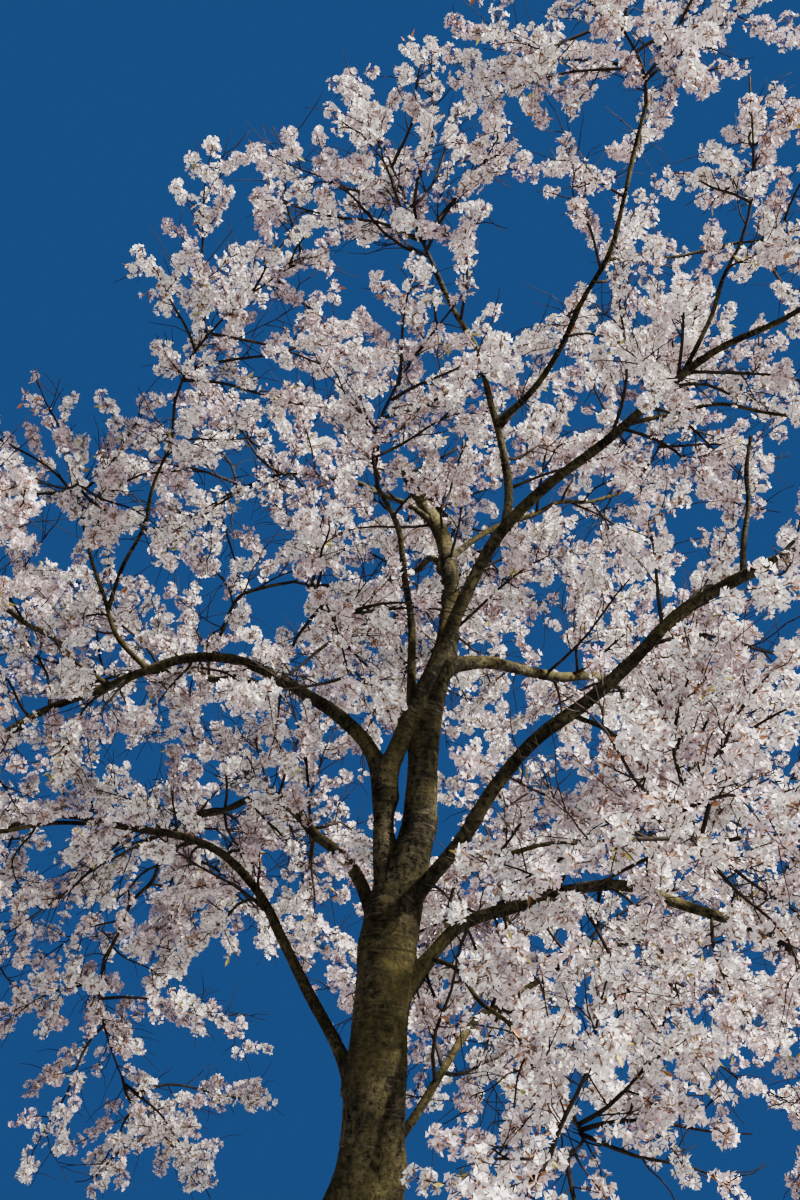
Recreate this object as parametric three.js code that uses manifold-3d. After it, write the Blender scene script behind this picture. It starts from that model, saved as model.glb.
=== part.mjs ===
// Cherry blossom tree
// Millimetres, Z up. The origin is on the ground at the middle of the trunk's flat cut.
// X runs to the viewer's right, Y runs away from the viewer.
// The trunk forks into boughs, and every bough but one broken stub ends in a mass of blossom.

import * as THREE from 'three';
import Module from 'manifold-3d';

const wasm = await Module();
wasm.setup();

// Trunk sizes
const TRUNK_SIDES = 16;
const TRUNK_STEPS = 12;
const FLARE_RADIUS = 130;
const FLARE_HEIGHT = 220;
const FLARE_LOBES = 5;
const FLARE_LOBE_DEPTH = 0.13;
const FLARE_LOBE_HEIGHT = 330;
const BURLS = [
  { height: 2030, heading: -20, bulge: 38, spread: 30, reach: 150 },
  { height: 1750, heading: 185, bulge: 85, spread: 45, reach: 240 },
];

// Bough sizes
const BOUGH_STEP_LENGTH = 420;
const FEWEST_BOUGH_STEPS = 4;
const MOST_BOUGH_STEPS = 11;
const SIDES_OF_THICK_BOUGH = 7;
const SIDES_OF_THIN_BOUGH = 5;
const THICK_BOUGH_RADIUS = 45;
const COLLAR_SWELL = 0.35;
const COLLAR_SHARE = 0.07;
const CROOK_ANGLE = 8;
const CROOK_WAVES = 2.5;
const CROOK_PHASE_STEP = 2.4;

// A direction this close to upright, or this far from level, needs another side to start from
const NEARLY_UPRIGHT = 0.9;
const TOO_SHORT_SIDE = 0.1;
const UP = new THREE.Vector3(0, 0, 1);

// Gaps between neighbouring solids
const SEAT_GAP = 0.3;
const SPACE_FULLNESS = 1.1;
const SPACE_MARGIN = 22;
const LIMB_MARGIN = 15;

// Twig and spray sizes inside a mass of blossom
const TWIG_SIDES = 3;
const GOLDEN_ANGLE = 137.5;
const TWIG_TURN_SPREAD = 30;
const TANGENT_SPAN = 0.1;
const MASS_SEED = 1000;
const MASS_SEED_STEP = 77;
const STEM_STEPS = 3;
const STEM_SINK = 30;
const STEM_REACH = 0.62;
const STEM_LEAD = 0.55;
const TWIG_RADIUS = 11;
const TWIG_TIP_RADIUS = 6;
const TWIG_FIRST = 0.14;
const TWIG_LAST = 0.93;
const TWIG_LEAN = [50, 76];
const TWIG_LONGEST = 1500;
const TWIG_SHORTEST = 260;
const MARCH_STEP = 50;
const SPRAY_HALF_LENGTH = [300, 380];
const SPRAY_SLENDERNESS = [0.5, 0.62];
const SPRAY_PLACES = [1, 0.45];
const SPRAY_PLACE_STEP = 0.08;
const SPRAY_TRIES = 6;
const SPRAY_SEPARATION = 430;
const SPRAY_SHRINK = 0.8;
const TWIG_SINK = 60;

// The trunk and boughs: which limb each grows from and how far along it, its heading in plan,
// how far that swings, its rise over the level, how far that bends over, its length and radii
const LIMBS = [
  {
    name: 'trunk', heading: 0, swing: 0, rise: 89, arch: -4,
    length: 3420, base: 222, tip: 143,
  },
  {
    name: 'leader', from: 'trunk', at: 0.94, heading: -12, swing: 161, rise: 82, arch: -18,
    length: 4460, base: 112, tip: 45,
  },
  {
    name: 'right_rising', from: 'trunk', at: 0.99, heading: -33, swing: -8, rise: 95, arch: -100,
    length: 4900, base: 64, tip: 18,
  },
  {
    name: 'right_front', from: 'trunk', at: 0.97, heading: -46, swing: 2, rise: 44, arch: -36,
    length: 3350, base: 45, tip: 31,
  },
  {
    name: 'right_low', from: 'trunk', at: 0.82, heading: 13, swing: -12, rise: 60, arch: -90,
    length: 2600, base: 40, tip: 32,
  },
  {
    name: 'left_low', from: 'trunk', at: 0.5, heading: 138, swing: 13, rise: 83, arch: -88,
    length: 5100, base: 40, tip: 18,
  },
  {
    name: 'back_low', from: 'trunk', at: 0.78, heading: 62, swing: 10, rise: 55, arch: -62,
    length: 3400, base: 45, tip: 22,
  },
  {
    name: 'back_left', from: 'trunk', at: 0.9, heading: 118, swing: 8, rise: 60, arch: -60,
    length: 3900, base: 45, tip: 22,
  },
  {
    name: 'left_mid', from: 'right_rising', at: 0.16, heading: 144, swing: 32, rise: 73, arch: -126,
    length: 4150, base: 48, tip: 24,
  },
  {
    name: 'left_front', from: 'left_mid', at: 0.7, heading: -118, swing: 14, rise: 12, arch: -26,
    length: 1900, base: 20, tip: 13,
  },
  {
    name: 'right_back', from: 'leader', at: 0.45, heading: 29, swing: 32, rise: 13, arch: -1,
    length: 3080, base: 46, tip: 24,
  },
  {
    name: 'back_up', from: 'leader', at: 0.66, heading: 95, swing: 10, rise: 48, arch: -40,
    length: 2400, base: 34, tip: 18,
  },
  {
    name: 'leader_right', from: 'leader', at: 0.7, heading: 25, swing: 0, rise: 45, arch: -25,
    length: 2000, base: 24, tip: 14,
  },
  {
    name: 'leader_left', from: 'leader', at: 0.8, heading: 165, swing: -20, rise: 45, arch: -20,
    length: 1500, base: 24, tip: 14,
  },
  {
    name: 'thin_front', from: 'right_rising', at: 0.28, heading: -86, swing: -42, rise: 104, arch: -60,
    length: 1680, base: 31, tip: 16,
  },
  {
    name: 'centre_up', from: 'right_rising', at: 0.56, heading: -127, swing: -9, rise: 96, arch: -55,
    length: 2100, base: 30, tip: 16,
  },
  {
    name: 'top_right', from: 'centre_up', at: 0.4, heading: -40, swing: -33, rise: 28, arch: 34,
    length: 2400, base: 22, tip: 14,
  },
  {
    name: 'top_right_side', from: 'top_right', at: 0.55, heading: 20, swing: -30, rise: 19, arch: -12,
    length: 1000, base: 13, tip: 9,
  },
  {
    name: 'right_level_top', from: 'right_rising', at: 0.77, heading: -8, swing: -2, rise: 17, arch: -45,
    length: 1200, base: 15, tip: 10,
  },
  {
    name: 'right_tip_up', from: 'right_rising', at: 0.86, heading: -45, swing: -17, rise: 54, arch: -8,
    length: 900, base: 16, tip: 11,
  },
  {
    name: 'right_droop', from: 'right_front', at: 0.52, heading: -5, swing: -21, rise: -33, arch: -42,
    length: 1000, base: 13, tip: 10,
  },
  {
    name: 'right_level', from: 'right_front', at: 0.19, heading: 15, swing: -8, rise: 5, arch: 10,
    length: 1200, base: 17, tip: 11,
  },
  {
    name: 'right_stub_up', from: 'right_front', at: 0.89, heading: -60, swing: 0, rise: 76, arch: -2,
    length: 800, base: 15, tip: 11, bare: true,
  },
  {
    name: 'right_low_droop', from: 'right_low', at: 0.18, heading: -63, swing: 19, rise: -28, arch: -28,
    length: 1500, base: 14, tip: 10,
  },
  {
    name: 'left_up_outer', from: 'left_mid', at: 0.62, heading: -162, swing: 0, rise: 47, arch: 34,
    length: 1400, base: 20, tip: 13,
  },
  {
    name: 'left_up_inner', from: 'left_up_outer', at: 0.42, heading: -48, swing: -24, rise: 48, arch: -8,
    length: 1700, base: 16, tip: 11,
  },
  {
    name: 'left_up_front', from: 'left_mid', at: 0.5, heading: -74, swing: 42, rise: 33, arch: -53,
    length: 1200, base: 14, tip: 10,
  },
  {
    name: 'left_back', from: 'left_mid', at: 0.33, heading: 131, swing: 10, rise: 22, arch: 3,
    length: 1590, base: 36, tip: 22,
  },
  {
    name: 'left_low_back', from: 'left_low', at: 0.6, heading: 118, swing: 6, rise: 8, arch: -48,
    length: 1900, base: 19, tip: 12,
  },
  {
    name: 'left_low_side', from: 'left_low', at: 0.72, heading: -155, swing: 10, rise: 4, arch: -42,
    length: 1500, base: 18, tip: 12,
  },
  {
    name: 'right_lowest', from: 'trunk', at: 0.59, heading: 34, swing: 18, rise: 55, arch: -47,
    length: 3400, base: 26, tip: 14,
  },
];

// The masses of blossom: the bough each grows on from, where its middle lies ahead of, beside
// and over the bough's tip, its half sizes, and how many twigs leave its stem
const MASSES = [
  { bough: 'leader', ahead: 300, side: -600, lift: -450, half: [1250, 1250, 1200], twigs: 7 },
  { bough: 'right_rising', ahead: 1050, side: 0, lift: 400, half: [1300, 1200, 1100], twigs: 7 },
  { bough: 'right_front', ahead: 750, side: 600, lift: -250, half: [1250, 1200, 1100], twigs: 7 },
  { bough: 'right_low', ahead: 600, side: 100, lift: -450, half: [1250, 1200, 1000], twigs: 7 },
  { bough: 'left_low', ahead: 700, side: -150, lift: 50, half: [1250, 1250, 1100], twigs: 7 },
  { bough: 'back_low', ahead: 250, side: 600, lift: 0, half: [1300, 1300, 1150], twigs: 7 },
  { bough: 'back_left', ahead: 750, side: -600, lift: -300, half: [1300, 1300, 1200], twigs: 7 },
  { bough: 'left_mid', ahead: 800, side: -250, lift: -50, half: [1200, 1200, 1100], twigs: 7 },
  { bough: 'left_front', ahead: 650, side: 100, lift: -350, half: [1100, 1100, 1050], twigs: 6 },
  { bough: 'right_back', ahead: 900, side: 150, lift: 500, half: [1300, 1250, 1200], twigs: 7 },
  { bough: 'back_up', ahead: 900, side: -300, lift: -450, half: [1250, 1250, 1200], twigs: 7 },
  { bough: 'leader_right', ahead: 250, side: -550, lift: 550, half: [1050, 1100, 1000], twigs: 6 },
  { bough: 'leader_left', ahead: 950, side: -150, lift: -450, half: [1100, 1050, 1100], twigs: 6 },
  { bough: 'thin_front', ahead: 250, side: 600, lift: 350, half: [950, 900, 900], twigs: 5 },
  { bough: 'centre_up', ahead: 400, side: 50, lift: -100, half: [1150, 1100, 1100], twigs: 7 },
  { bough: 'top_right', ahead: 500, side: -500, lift: -450, half: [1200, 1100, 1050], twigs: 7 },
  { bough: 'top_right_side', ahead: 500, side: -100, lift: -450, half: [1050, 950, 950], twigs: 6 },
  { bough: 'right_level_top', ahead: 700, side: -150, lift: 550, half: [1000, 950, 800], twigs: 5 },
  { bough: 'right_tip_up', ahead: 250, side: -100, lift: 250, half: [850, 850, 800], twigs: 5 },
  { bough: 'right_droop', ahead: 250, side: -600, lift: 150, half: [950, 900, 850], twigs: 6 },
  { bough: 'right_level', ahead: 500, side: 0, lift: 400, half: [1000, 1000, 750], twigs: 6 },
  { bough: 'right_low_droop', ahead: 250, side: -600, lift: 50, half: [950, 950, 800], twigs: 5 },
  { bough: 'left_up_outer', ahead: 250, side: 500, lift: -450, half: [1000, 950, 950], twigs: 6 },
  { bough: 'left_up_inner', ahead: 450, side: 600, lift: 400, half: [900, 1000, 1350], twigs: 7 },
  { bough: 'left_up_front', ahead: 250, side: -50, lift: -450, half: [950, 900, 850], twigs: 6 },
  { bough: 'left_back', ahead: 550, side: 0, lift: 0, half: [1150, 1150, 1050], twigs: 6 },
  { bough: 'left_low_back', ahead: 500, side: -500, lift: -450, half: [1150, 1150, 950], twigs: 6 },
  { bough: 'left_low_side', ahead: 450, side: 50, lift: -250, half: [1150, 1100, 950], twigs: 6 },
  { bough: 'right_lowest', ahead: 450, side: 200, lift: -450, half: [1200, 1200, 1000], twigs: 5 },
];

// Seeded random numbers, the same on every run
function seeded(seed) {
  let state = seed >>> 0;
  return () => {
    state = (Math.imul(state, 1664525) + 1013904223) >>> 0;
    return state / 4294967296;
  };
}

function between(range, share) {
  return range[0] + (range[1] - range[0]) * share;
}

function towards(heading, rise) {
  const turn = THREE.MathUtils.degToRad(heading);
  const climb = THREE.MathUtils.degToRad(rise);
  return new THREE.Vector3(
    Math.cos(climb) * Math.cos(turn),
    Math.cos(climb) * Math.sin(turn),
    Math.sin(climb),
  );
}

// The middle line of a limb, bending evenly with a slight crook
function limbLine(root, limb, index, steps) {
  const points = [root.clone()];
  const crook = limb.from ? CROOK_ANGLE : 0;
  for (let i = 0; i < steps; i += 1) {
    const share = (i + 0.5) / steps;
    const wave = 2 * Math.PI * CROOK_WAVES * share + index * CROOK_PHASE_STEP;
    const heading = limb.heading + limb.swing * share + crook * Math.sin(wave);
    const rise = limb.rise + limb.arch * share + crook * Math.cos(wave);
    const step = towards(heading, rise).multiplyScalar(limb.length / steps);
    points.push(points[i].clone().add(step));
  }
  return points;
}

function boughSteps(length) {
  const steps = Math.round(length / BOUGH_STEP_LENGTH) + 1;
  return THREE.MathUtils.clamp(steps, FEWEST_BOUGH_STEPS, MOST_BOUGH_STEPS);
}

function pointAlong(points, share) {
  const place = Math.min(Math.max(share, 0), 1) * (points.length - 1);
  const i = Math.min(Math.floor(place), points.length - 2);
  return points[i].clone().lerp(points[i + 1], place - i);
}

// A direction square to another one, turned round it
function sideOf(along, turn) {
  const side = UP.clone().cross(along);
  if (side.length() < TOO_SHORT_SIDE) side.set(1, 0, 0);
  return side.normalize().applyAxisAngle(along, turn);
}

// A closed solid with rings of corners round a line and a flat cap at each end
function ringSolid(rings) {
  const sides = rings[0].length;
  const corners = rings.flat();
  const first = corners.length;
  const middles = [rings[0], rings[rings.length - 1]].map((ring) => {
    const middle = new THREE.Vector3();
    ring.forEach((corner) => middle.addScaledVector(corner, 1 / sides));
    return middle;
  });
  corners.push(...middles);
  const faces = [];
  for (let r = 0; r + 1 < rings.length; r += 1) {
    for (let s = 0; s < sides; s += 1) {
      const a = r * sides + s;
      const b = r * sides + (s + 1) % sides;
      faces.push(a, b, b + sides, a, b + sides, a + sides);
    }
  }
  const last = (rings.length - 1) * sides;
  for (let s = 0; s < sides; s += 1) {
    const next = (s + 1) % sides;
    faces.push(first, next, s, first + 1, last + s, last + next);
  }
  return solidOf(corners, faces);
}

function solidOf(corners, faces) {
  const vertProperties = new Float32Array(corners.flatMap((corner) => corner.toArray()));
  const triVerts = new Uint32Array(faces);
  return new wasm.Manifold(new wasm.Mesh({ numProp: 3, vertProperties, triVerts }));
}

// Rings square to a line, carried along it without twist
function ringsAlong(points, radii, sides) {
  const rings = [];
  const side = UP.clone();
  points.forEach((point, i) => {
    const before = points[Math.max(i - 1, 0)];
    const after = points[Math.min(i + 1, points.length - 1)];
    const along = after.clone().sub(before).normalize();
    if (i === 0 && Math.abs(along.z) > NEARLY_UPRIGHT) side.set(1, 0, 0);
    side.addScaledVector(along, -side.dot(along)).normalize();
    const across = along.clone().cross(side);
    const ring = [];
    for (let s = 0; s < sides; s += 1) {
      const turn = 2 * Math.PI * s / sides;
      const corner = point.clone();
      corner.addScaledVector(side, Math.cos(turn) * radii[i]);
      corner.addScaledVector(across, Math.sin(turn) * radii[i]);
      ring.push(corner);
    }
    rings.push(ring);
  });
  return rings;
}

// The same line, pushed out at both ends, for cutting a neighbour clear
function lengthened(points, extra) {
  const longer = points.map((point) => point.clone());
  const last = points.length - 1;
  longer[0].addScaledVector(points[0].clone().sub(points[1]).normalize(), extra);
  longer[last].addScaledVector(points[last].clone().sub(points[last - 1]).normalize(), extra);
  return longer;
}

// Only the outer skin of the largest piece, so loose scraps and sealed hollows go
function largestPiece(solid) {
  const pieces = solid.decompose();
  return pieces.reduce((best, piece) => (piece.volume() > best.volume() ? piece : best));
}

// The trunk's rings are level, with a lobed root flare and a burl on each side
function trunkRadius(height, heading, straight) {
  const lobe = Math.cos(THREE.MathUtils.degToRad(heading * FLARE_LOBES));
  const lobed = 1 + FLARE_LOBE_DEPTH * Math.exp(-height / FLARE_LOBE_HEIGHT) * lobe;
  const flare = FLARE_RADIUS * Math.exp(-height / FLARE_HEIGHT);
  const burls = BURLS.map((burl) => {
    const off = THREE.MathUtils.euclideanModulo(heading - burl.heading + 180, 360) - 180;
    return burl.bulge * Math.exp(-((off / burl.spread) ** 2))
      * Math.exp(-(((height - burl.height) / burl.reach) ** 2));
  });
  return (straight + flare) * lobed + burls.reduce((sum, bulge) => sum + bulge);
}

function trunkRings(limb, line, extra) {
  return line.map((point, i) => {
    const straight = THREE.MathUtils.lerp(limb.base, limb.tip, i / (line.length - 1));
    const ring = [];
    for (let s = 0; s < TRUNK_SIDES; s += 1) {
      const heading = 360 * s / TRUNK_SIDES;
      const radius = trunkRadius(point.z, heading, straight) + extra;
      const corner = towards(heading, 0).multiplyScalar(radius).add(point);
      ring.push(corner);
    }
    return ring;
  });
}

function radiiOf(limb, steps) {
  const radii = [];
  for (let i = 0; i <= steps; i += 1) {
    const share = i / steps;
    const swell = 1 + COLLAR_SWELL * Math.exp(-share / COLLAR_SHARE);
    radii.push(THREE.MathUtils.lerp(limb.base, limb.tip, share) * swell);
  }
  return radii;
}

// Every limb's line, radii, solid and the slightly larger solid that cuts its neighbours
function makeLimbs() {
  const limbs = new Map();
  LIMBS.forEach((limb, index) => {
    const steps = limb.from ? boughSteps(limb.length) : TRUNK_STEPS;
    const root = limb.from ? pointAlong(limbs.get(limb.from).line, limb.at) : new THREE.Vector3();
    const line = limbLine(root, limb, index, steps);
    const radii = limb.from ? radiiOf(limb, steps) : line.map((point, i) => (
      THREE.MathUtils.lerp(limb.base, limb.tip, i / steps)
    ));
    const made = { limb, line, radii };
    if (limb.from) {
      const sides = limb.base > THICK_BOUGH_RADIUS ? SIDES_OF_THICK_BOUGH : SIDES_OF_THIN_BOUGH;
      const wider = radii.map((radius) => radius + SEAT_GAP);
      made.solid = ringSolid(ringsAlong(line, radii, sides));
      made.cutter = ringSolid(ringsAlong(lengthened(line, SEAT_GAP), wider, sides));
    } else {
      made.solid = ringSolid(trunkRings(limb, line, 0));
      made.cutter = ringSolid(trunkRings(limb, lengthened(line, SEAT_GAP), SEAT_GAP));
    }
    limbs.forEach((other) => {
      if (made.solid.intersect(other.cutter).volume() > 0) {
        made.solid = largestPiece(made.solid.subtract(other.cutter));
      }
    });
    limbs.set(limb.name, made);
  });
  return limbs;
}

// The space that a mass keeps to: an egg, cut flat where it meets the neighbouring masses
function massSpaces(limbs) {
  return MASSES.map((mass) => {
    const { line, limb, radii } = limbs.get(mass.bough);
    const tip = line[line.length - 1];
    const ahead = tip.clone().sub(line[line.length - 2]).normalize();
    const beside = new THREE.Vector3(-ahead.y, ahead.x, 0).normalize();
    const middle = tip.clone().addScaledVector(ahead, mass.ahead);
    middle.addScaledVector(beside, mass.side);
    middle.z += mass.lift;
    const half = new THREE.Vector3(...mass.half).multiplyScalar(SPACE_FULLNESS);
    const reach = (half.x + half.y + half.z) / 3;
    return { mass, limb, tip, ahead, middle, half, reach, tipRadius: radii[radii.length - 1] };
  });
}

function isInside(point, space, spaces) {
  const offset = point.clone().sub(space.middle).divide(space.half);
  if (offset.length() > 1) return false;
  const own = point.distanceToSquared(space.middle) - space.reach ** 2;
  return spaces.every((other) => {
    if (other === space) return true;
    const theirs = point.distanceToSquared(other.middle) - other.reach ** 2;
    const apart = 2 * space.middle.distanceTo(other.middle);
    return own + SPACE_MARGIN * apart < theirs;
  });
}

// The shortest distance between two straight stretches
function gapBetween(a, b, c, d) {
  const u = b.clone().sub(a);
  const v = d.clone().sub(c);
  const w = a.clone().sub(c);
  const uu = u.dot(u);
  const uv = u.dot(v);
  const vv = v.dot(v);
  const uw = u.dot(w);
  const vw = v.dot(w);
  const det = uu * vv - uv * uv;
  const clamp = (value) => Math.min(Math.max(value, 0), 1);
  let s = det > 1 ? clamp((uv * vw - vv * uw) / det) : 0;
  const t = clamp((uv * s + vw) / vv);
  s = clamp((uv * t - uw) / uu);
  return w.addScaledVector(u, s).addScaledVector(v, -t).length();
}

function isClearOfLimbs(a, b, radius, limbs) {
  for (const { line, radii } of limbs.values()) {
    for (let i = 0; i + 1 < line.length; i += 1) {
      const needed = Math.max(radii[i], radii[i + 1]) + radius + LIMB_MARGIN;
      if (gapBetween(a, b, line[i], line[i + 1]) < needed) return false;
    }
  }
  return true;
}

// A spray of blossom: an eight-sided diamond drawn out along its twig
function sprayCorners(middle, along, halfLength, halfWidth, turn) {
  const side = sideOf(along, turn);
  const across = along.clone().cross(side);
  return [
    middle.clone().addScaledVector(along, halfLength),
    middle.clone().addScaledVector(side, halfWidth),
    middle.clone().addScaledVector(across, halfWidth),
    middle.clone().addScaledVector(side, -halfWidth),
    middle.clone().addScaledVector(across, -halfWidth),
    middle.clone().addScaledVector(along, -halfLength),
  ];
}

function spraySolid(corners) {
  const faces = [0, 1, 2, 0, 2, 3, 0, 3, 4, 0, 4, 1, 5, 2, 1, 5, 3, 2, 5, 4, 3, 5, 1, 4];
  return solidOf(corners, faces);
}

// A spray is kept if it stays in its space, clear of limbs and apart from the sprays already made
function tryingSpray(place, along, size, site) {
  const { space, spaces, limbs, sprays } = site;
  let { halfLength, halfWidth } = size;
  for (let attempt = 0; attempt < 2; attempt += 1) {
    const corners = sprayCorners(place, along, halfLength, halfWidth, size.turn);
    const fits = corners.every((corner) => isInside(corner, space, spaces))
      && isClearOfLimbs(corners[0], corners[5], halfWidth, limbs)
      && sprays.every((other) => other.place.distanceTo(place) > SPRAY_SEPARATION);
    if (fits) {
      sprays.push({ place: place.clone(), corners });
      return true;
    }
    halfLength *= SPRAY_SHRINK;
    halfWidth *= SPRAY_SHRINK;
  }
  return false;
}

// The stem leads on from inside the bough's tip, which is cut clear of it later,
// and bends through the middle of its space
function stemLine(space) {
  const start = space.tip.clone().addScaledVector(space.ahead, -STEM_SINK);
  const across = space.middle.clone().sub(start);
  const lead = start.clone().addScaledVector(space.ahead, across.length() * STEM_LEAD);
  const end = space.middle.clone().addScaledVector(across.normalize(), space.reach * STEM_REACH);
  const curve = new THREE.QuadraticBezierCurve3(start, lead, end);
  return curve.getPoints(STEM_STEPS);
}

// A side twig runs outwards until its end would leave the space or touch a limb
function twigLine(root, direction, longest, site) {
  const { space, spaces, limbs } = site;
  let tip = root;
  for (let length = MARCH_STEP; length <= longest; length += MARCH_STEP) {
    const next = root.clone().addScaledVector(direction, length);
    const clear = isInside(next, space, spaces) && isClearOfLimbs(tip, next, TWIG_RADIUS, limbs);
    if (!clear) break;
    tip = next;
  }
  return tip.distanceTo(root) < TWIG_SHORTEST ? null : [root.clone(), tip];
}

function growMass(space, index, spaces, limbs) {
  const random = seeded(MASS_SEED + index * MASS_SEED_STEP);
  const site = { space, spaces, limbs, sprays: [] };
  const stem = stemLine(space);
  const stemRadii = stem.map((point, i) => (
    THREE.MathUtils.lerp(space.tipRadius, TWIG_RADIUS, i / STEM_STEPS)
  ));
  let solid = ringSolid(ringsAlong(stem, stemRadii, TWIG_SIDES));
  const newSize = () => {
    const halfLength = between(SPRAY_HALF_LENGTH, random());
    const halfWidth = halfLength * between(SPRAY_SLENDERNESS, random());
    return { halfLength, halfWidth, turn: random() * Math.PI };
  };
  const stemAlong = stem[STEM_STEPS].clone().sub(stem[STEM_STEPS - 1]).normalize();
  tryingSpray(stem[STEM_STEPS], stemAlong, newSize(), site);
  for (let k = 0; k < space.mass.twigs; k += 1) {
    const share = THREE.MathUtils.lerp(TWIG_FIRST, TWIG_LAST, (k + 0.5) / space.mass.twigs);
    const root = pointAlong(stem, share);
    const onward = pointAlong(stem, share + TANGENT_SPAN);
    onward.sub(pointAlong(stem, share - TANGENT_SPAN)).normalize();
    const turn = THREE.MathUtils.degToRad(k * GOLDEN_ANGLE + random() * TWIG_TURN_SPREAD);
    const lean = THREE.MathUtils.degToRad(between(TWIG_LEAN, random()));
    const side = sideOf(onward, turn);
    const direction = onward.clone().multiplyScalar(Math.cos(lean));
    direction.addScaledVector(side, Math.sin(lean));
    const line = twigLine(root, direction, TWIG_LONGEST, site);
    if (!line) continue;
    const before = site.sprays.length;
    SPRAY_PLACES.forEach((place) => {
      const size = newSize();
      for (let back = 0; back < SPRAY_TRIES; back += 1) {
        const spot = pointAlong(line, place - back * SPRAY_PLACE_STEP);
        if (tryingSpray(spot, direction, size, site)) break;
      }
    });
    if (site.sprays.length === before) continue;
    const lengths = site.sprays.slice(before).map((spray) => spray.place.distanceTo(root));
    const end = root.clone().addScaledVector(direction, Math.max(...lengths) + TWIG_SINK);
    solid = solid.add(ringSolid(ringsAlong([root, end], [TWIG_RADIUS, TWIG_TIP_RADIUS], TWIG_SIDES)));
  }
  site.sprays.forEach((spray) => {
    solid = solid.add(spraySolid(spray.corners));
  });
  const cutter = limbs.get(space.limb.name).cutter;
  return largestPiece(solid.subtract(cutter));
}

function meshOf(name, solid, material) {
  const { vertProperties, triVerts, numProp } = solid.getMesh();
  const geometry = new THREE.BufferGeometry();
  const positions = new Float32Array(vertProperties.length / numProp * 3);
  for (let i = 0; i * numProp < vertProperties.length; i += 1) {
    positions.set(vertProperties.subarray(i * numProp, i * numProp + 3), i * 3);
  }
  geometry.setAttribute('position', new THREE.BufferAttribute(positions, 3));
  geometry.setIndex(new THREE.BufferAttribute(new Uint32Array(triVerts), 1));
  const mesh = new THREE.Mesh(geometry, material);
  mesh.name = name;
  return mesh;
}

function barkMaterial() {
  return new THREE.MeshStandardMaterial({ color: 0x5b5048, roughness: 0.9, metalness: 0 });
}

function blossomMaterial(index) {
  const color = index % 2 ? 0xf4e6ea : 0xe9dfe8;
  return new THREE.MeshStandardMaterial({ color, roughness: 0.7, metalness: 0 });
}

const tree = new THREE.Group();
const limbs = makeLimbs();
limbs.forEach(({ limb, solid }) => {
  const name = limb.from ? `bough_${limb.name}` : limb.name;
  tree.add(meshOf(name, solid, barkMaterial()));
});
const spaces = massSpaces(limbs);
spaces.forEach((space, index) => {
  const solid = growMass(space, index, spaces, limbs);
  tree.add(meshOf(`blossom_${space.limb.name}`, solid, blossomMaterial(index)));
});

export default tree;
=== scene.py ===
import functools
import math
from collections import namedtuple

import bmesh
import bpy
import numpy as np
from mathutils import Matrix, Vector, noise


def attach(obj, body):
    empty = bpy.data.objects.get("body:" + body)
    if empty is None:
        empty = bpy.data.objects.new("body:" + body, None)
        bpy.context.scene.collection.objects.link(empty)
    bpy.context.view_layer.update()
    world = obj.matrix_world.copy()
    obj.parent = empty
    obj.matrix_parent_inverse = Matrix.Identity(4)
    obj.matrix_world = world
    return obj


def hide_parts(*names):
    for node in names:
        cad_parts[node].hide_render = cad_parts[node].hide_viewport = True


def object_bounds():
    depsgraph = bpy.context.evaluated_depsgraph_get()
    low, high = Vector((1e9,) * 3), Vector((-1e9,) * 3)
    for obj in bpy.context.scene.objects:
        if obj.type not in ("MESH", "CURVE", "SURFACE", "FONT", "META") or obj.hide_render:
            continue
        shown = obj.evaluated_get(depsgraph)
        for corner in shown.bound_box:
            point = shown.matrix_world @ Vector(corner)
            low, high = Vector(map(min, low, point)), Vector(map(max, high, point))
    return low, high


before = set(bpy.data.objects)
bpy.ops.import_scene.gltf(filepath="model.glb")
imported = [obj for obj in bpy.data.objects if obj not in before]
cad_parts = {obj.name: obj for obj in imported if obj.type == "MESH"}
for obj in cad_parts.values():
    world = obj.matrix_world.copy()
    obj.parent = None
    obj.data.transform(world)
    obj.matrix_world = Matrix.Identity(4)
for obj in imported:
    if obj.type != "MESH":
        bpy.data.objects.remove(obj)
CAD_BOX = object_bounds()

bl_info = {
    "name": "Cherry Blossom Tree",
    "version": (1, 0, 0),
    "blender": (4, 5, 0),
    "location": "View3D > Sidebar > Cherry Tree",
    "description": "Dresses a cherry tree's trunk, boughs and masses of blossom",
    "category": "Add Mesh",
}

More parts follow.
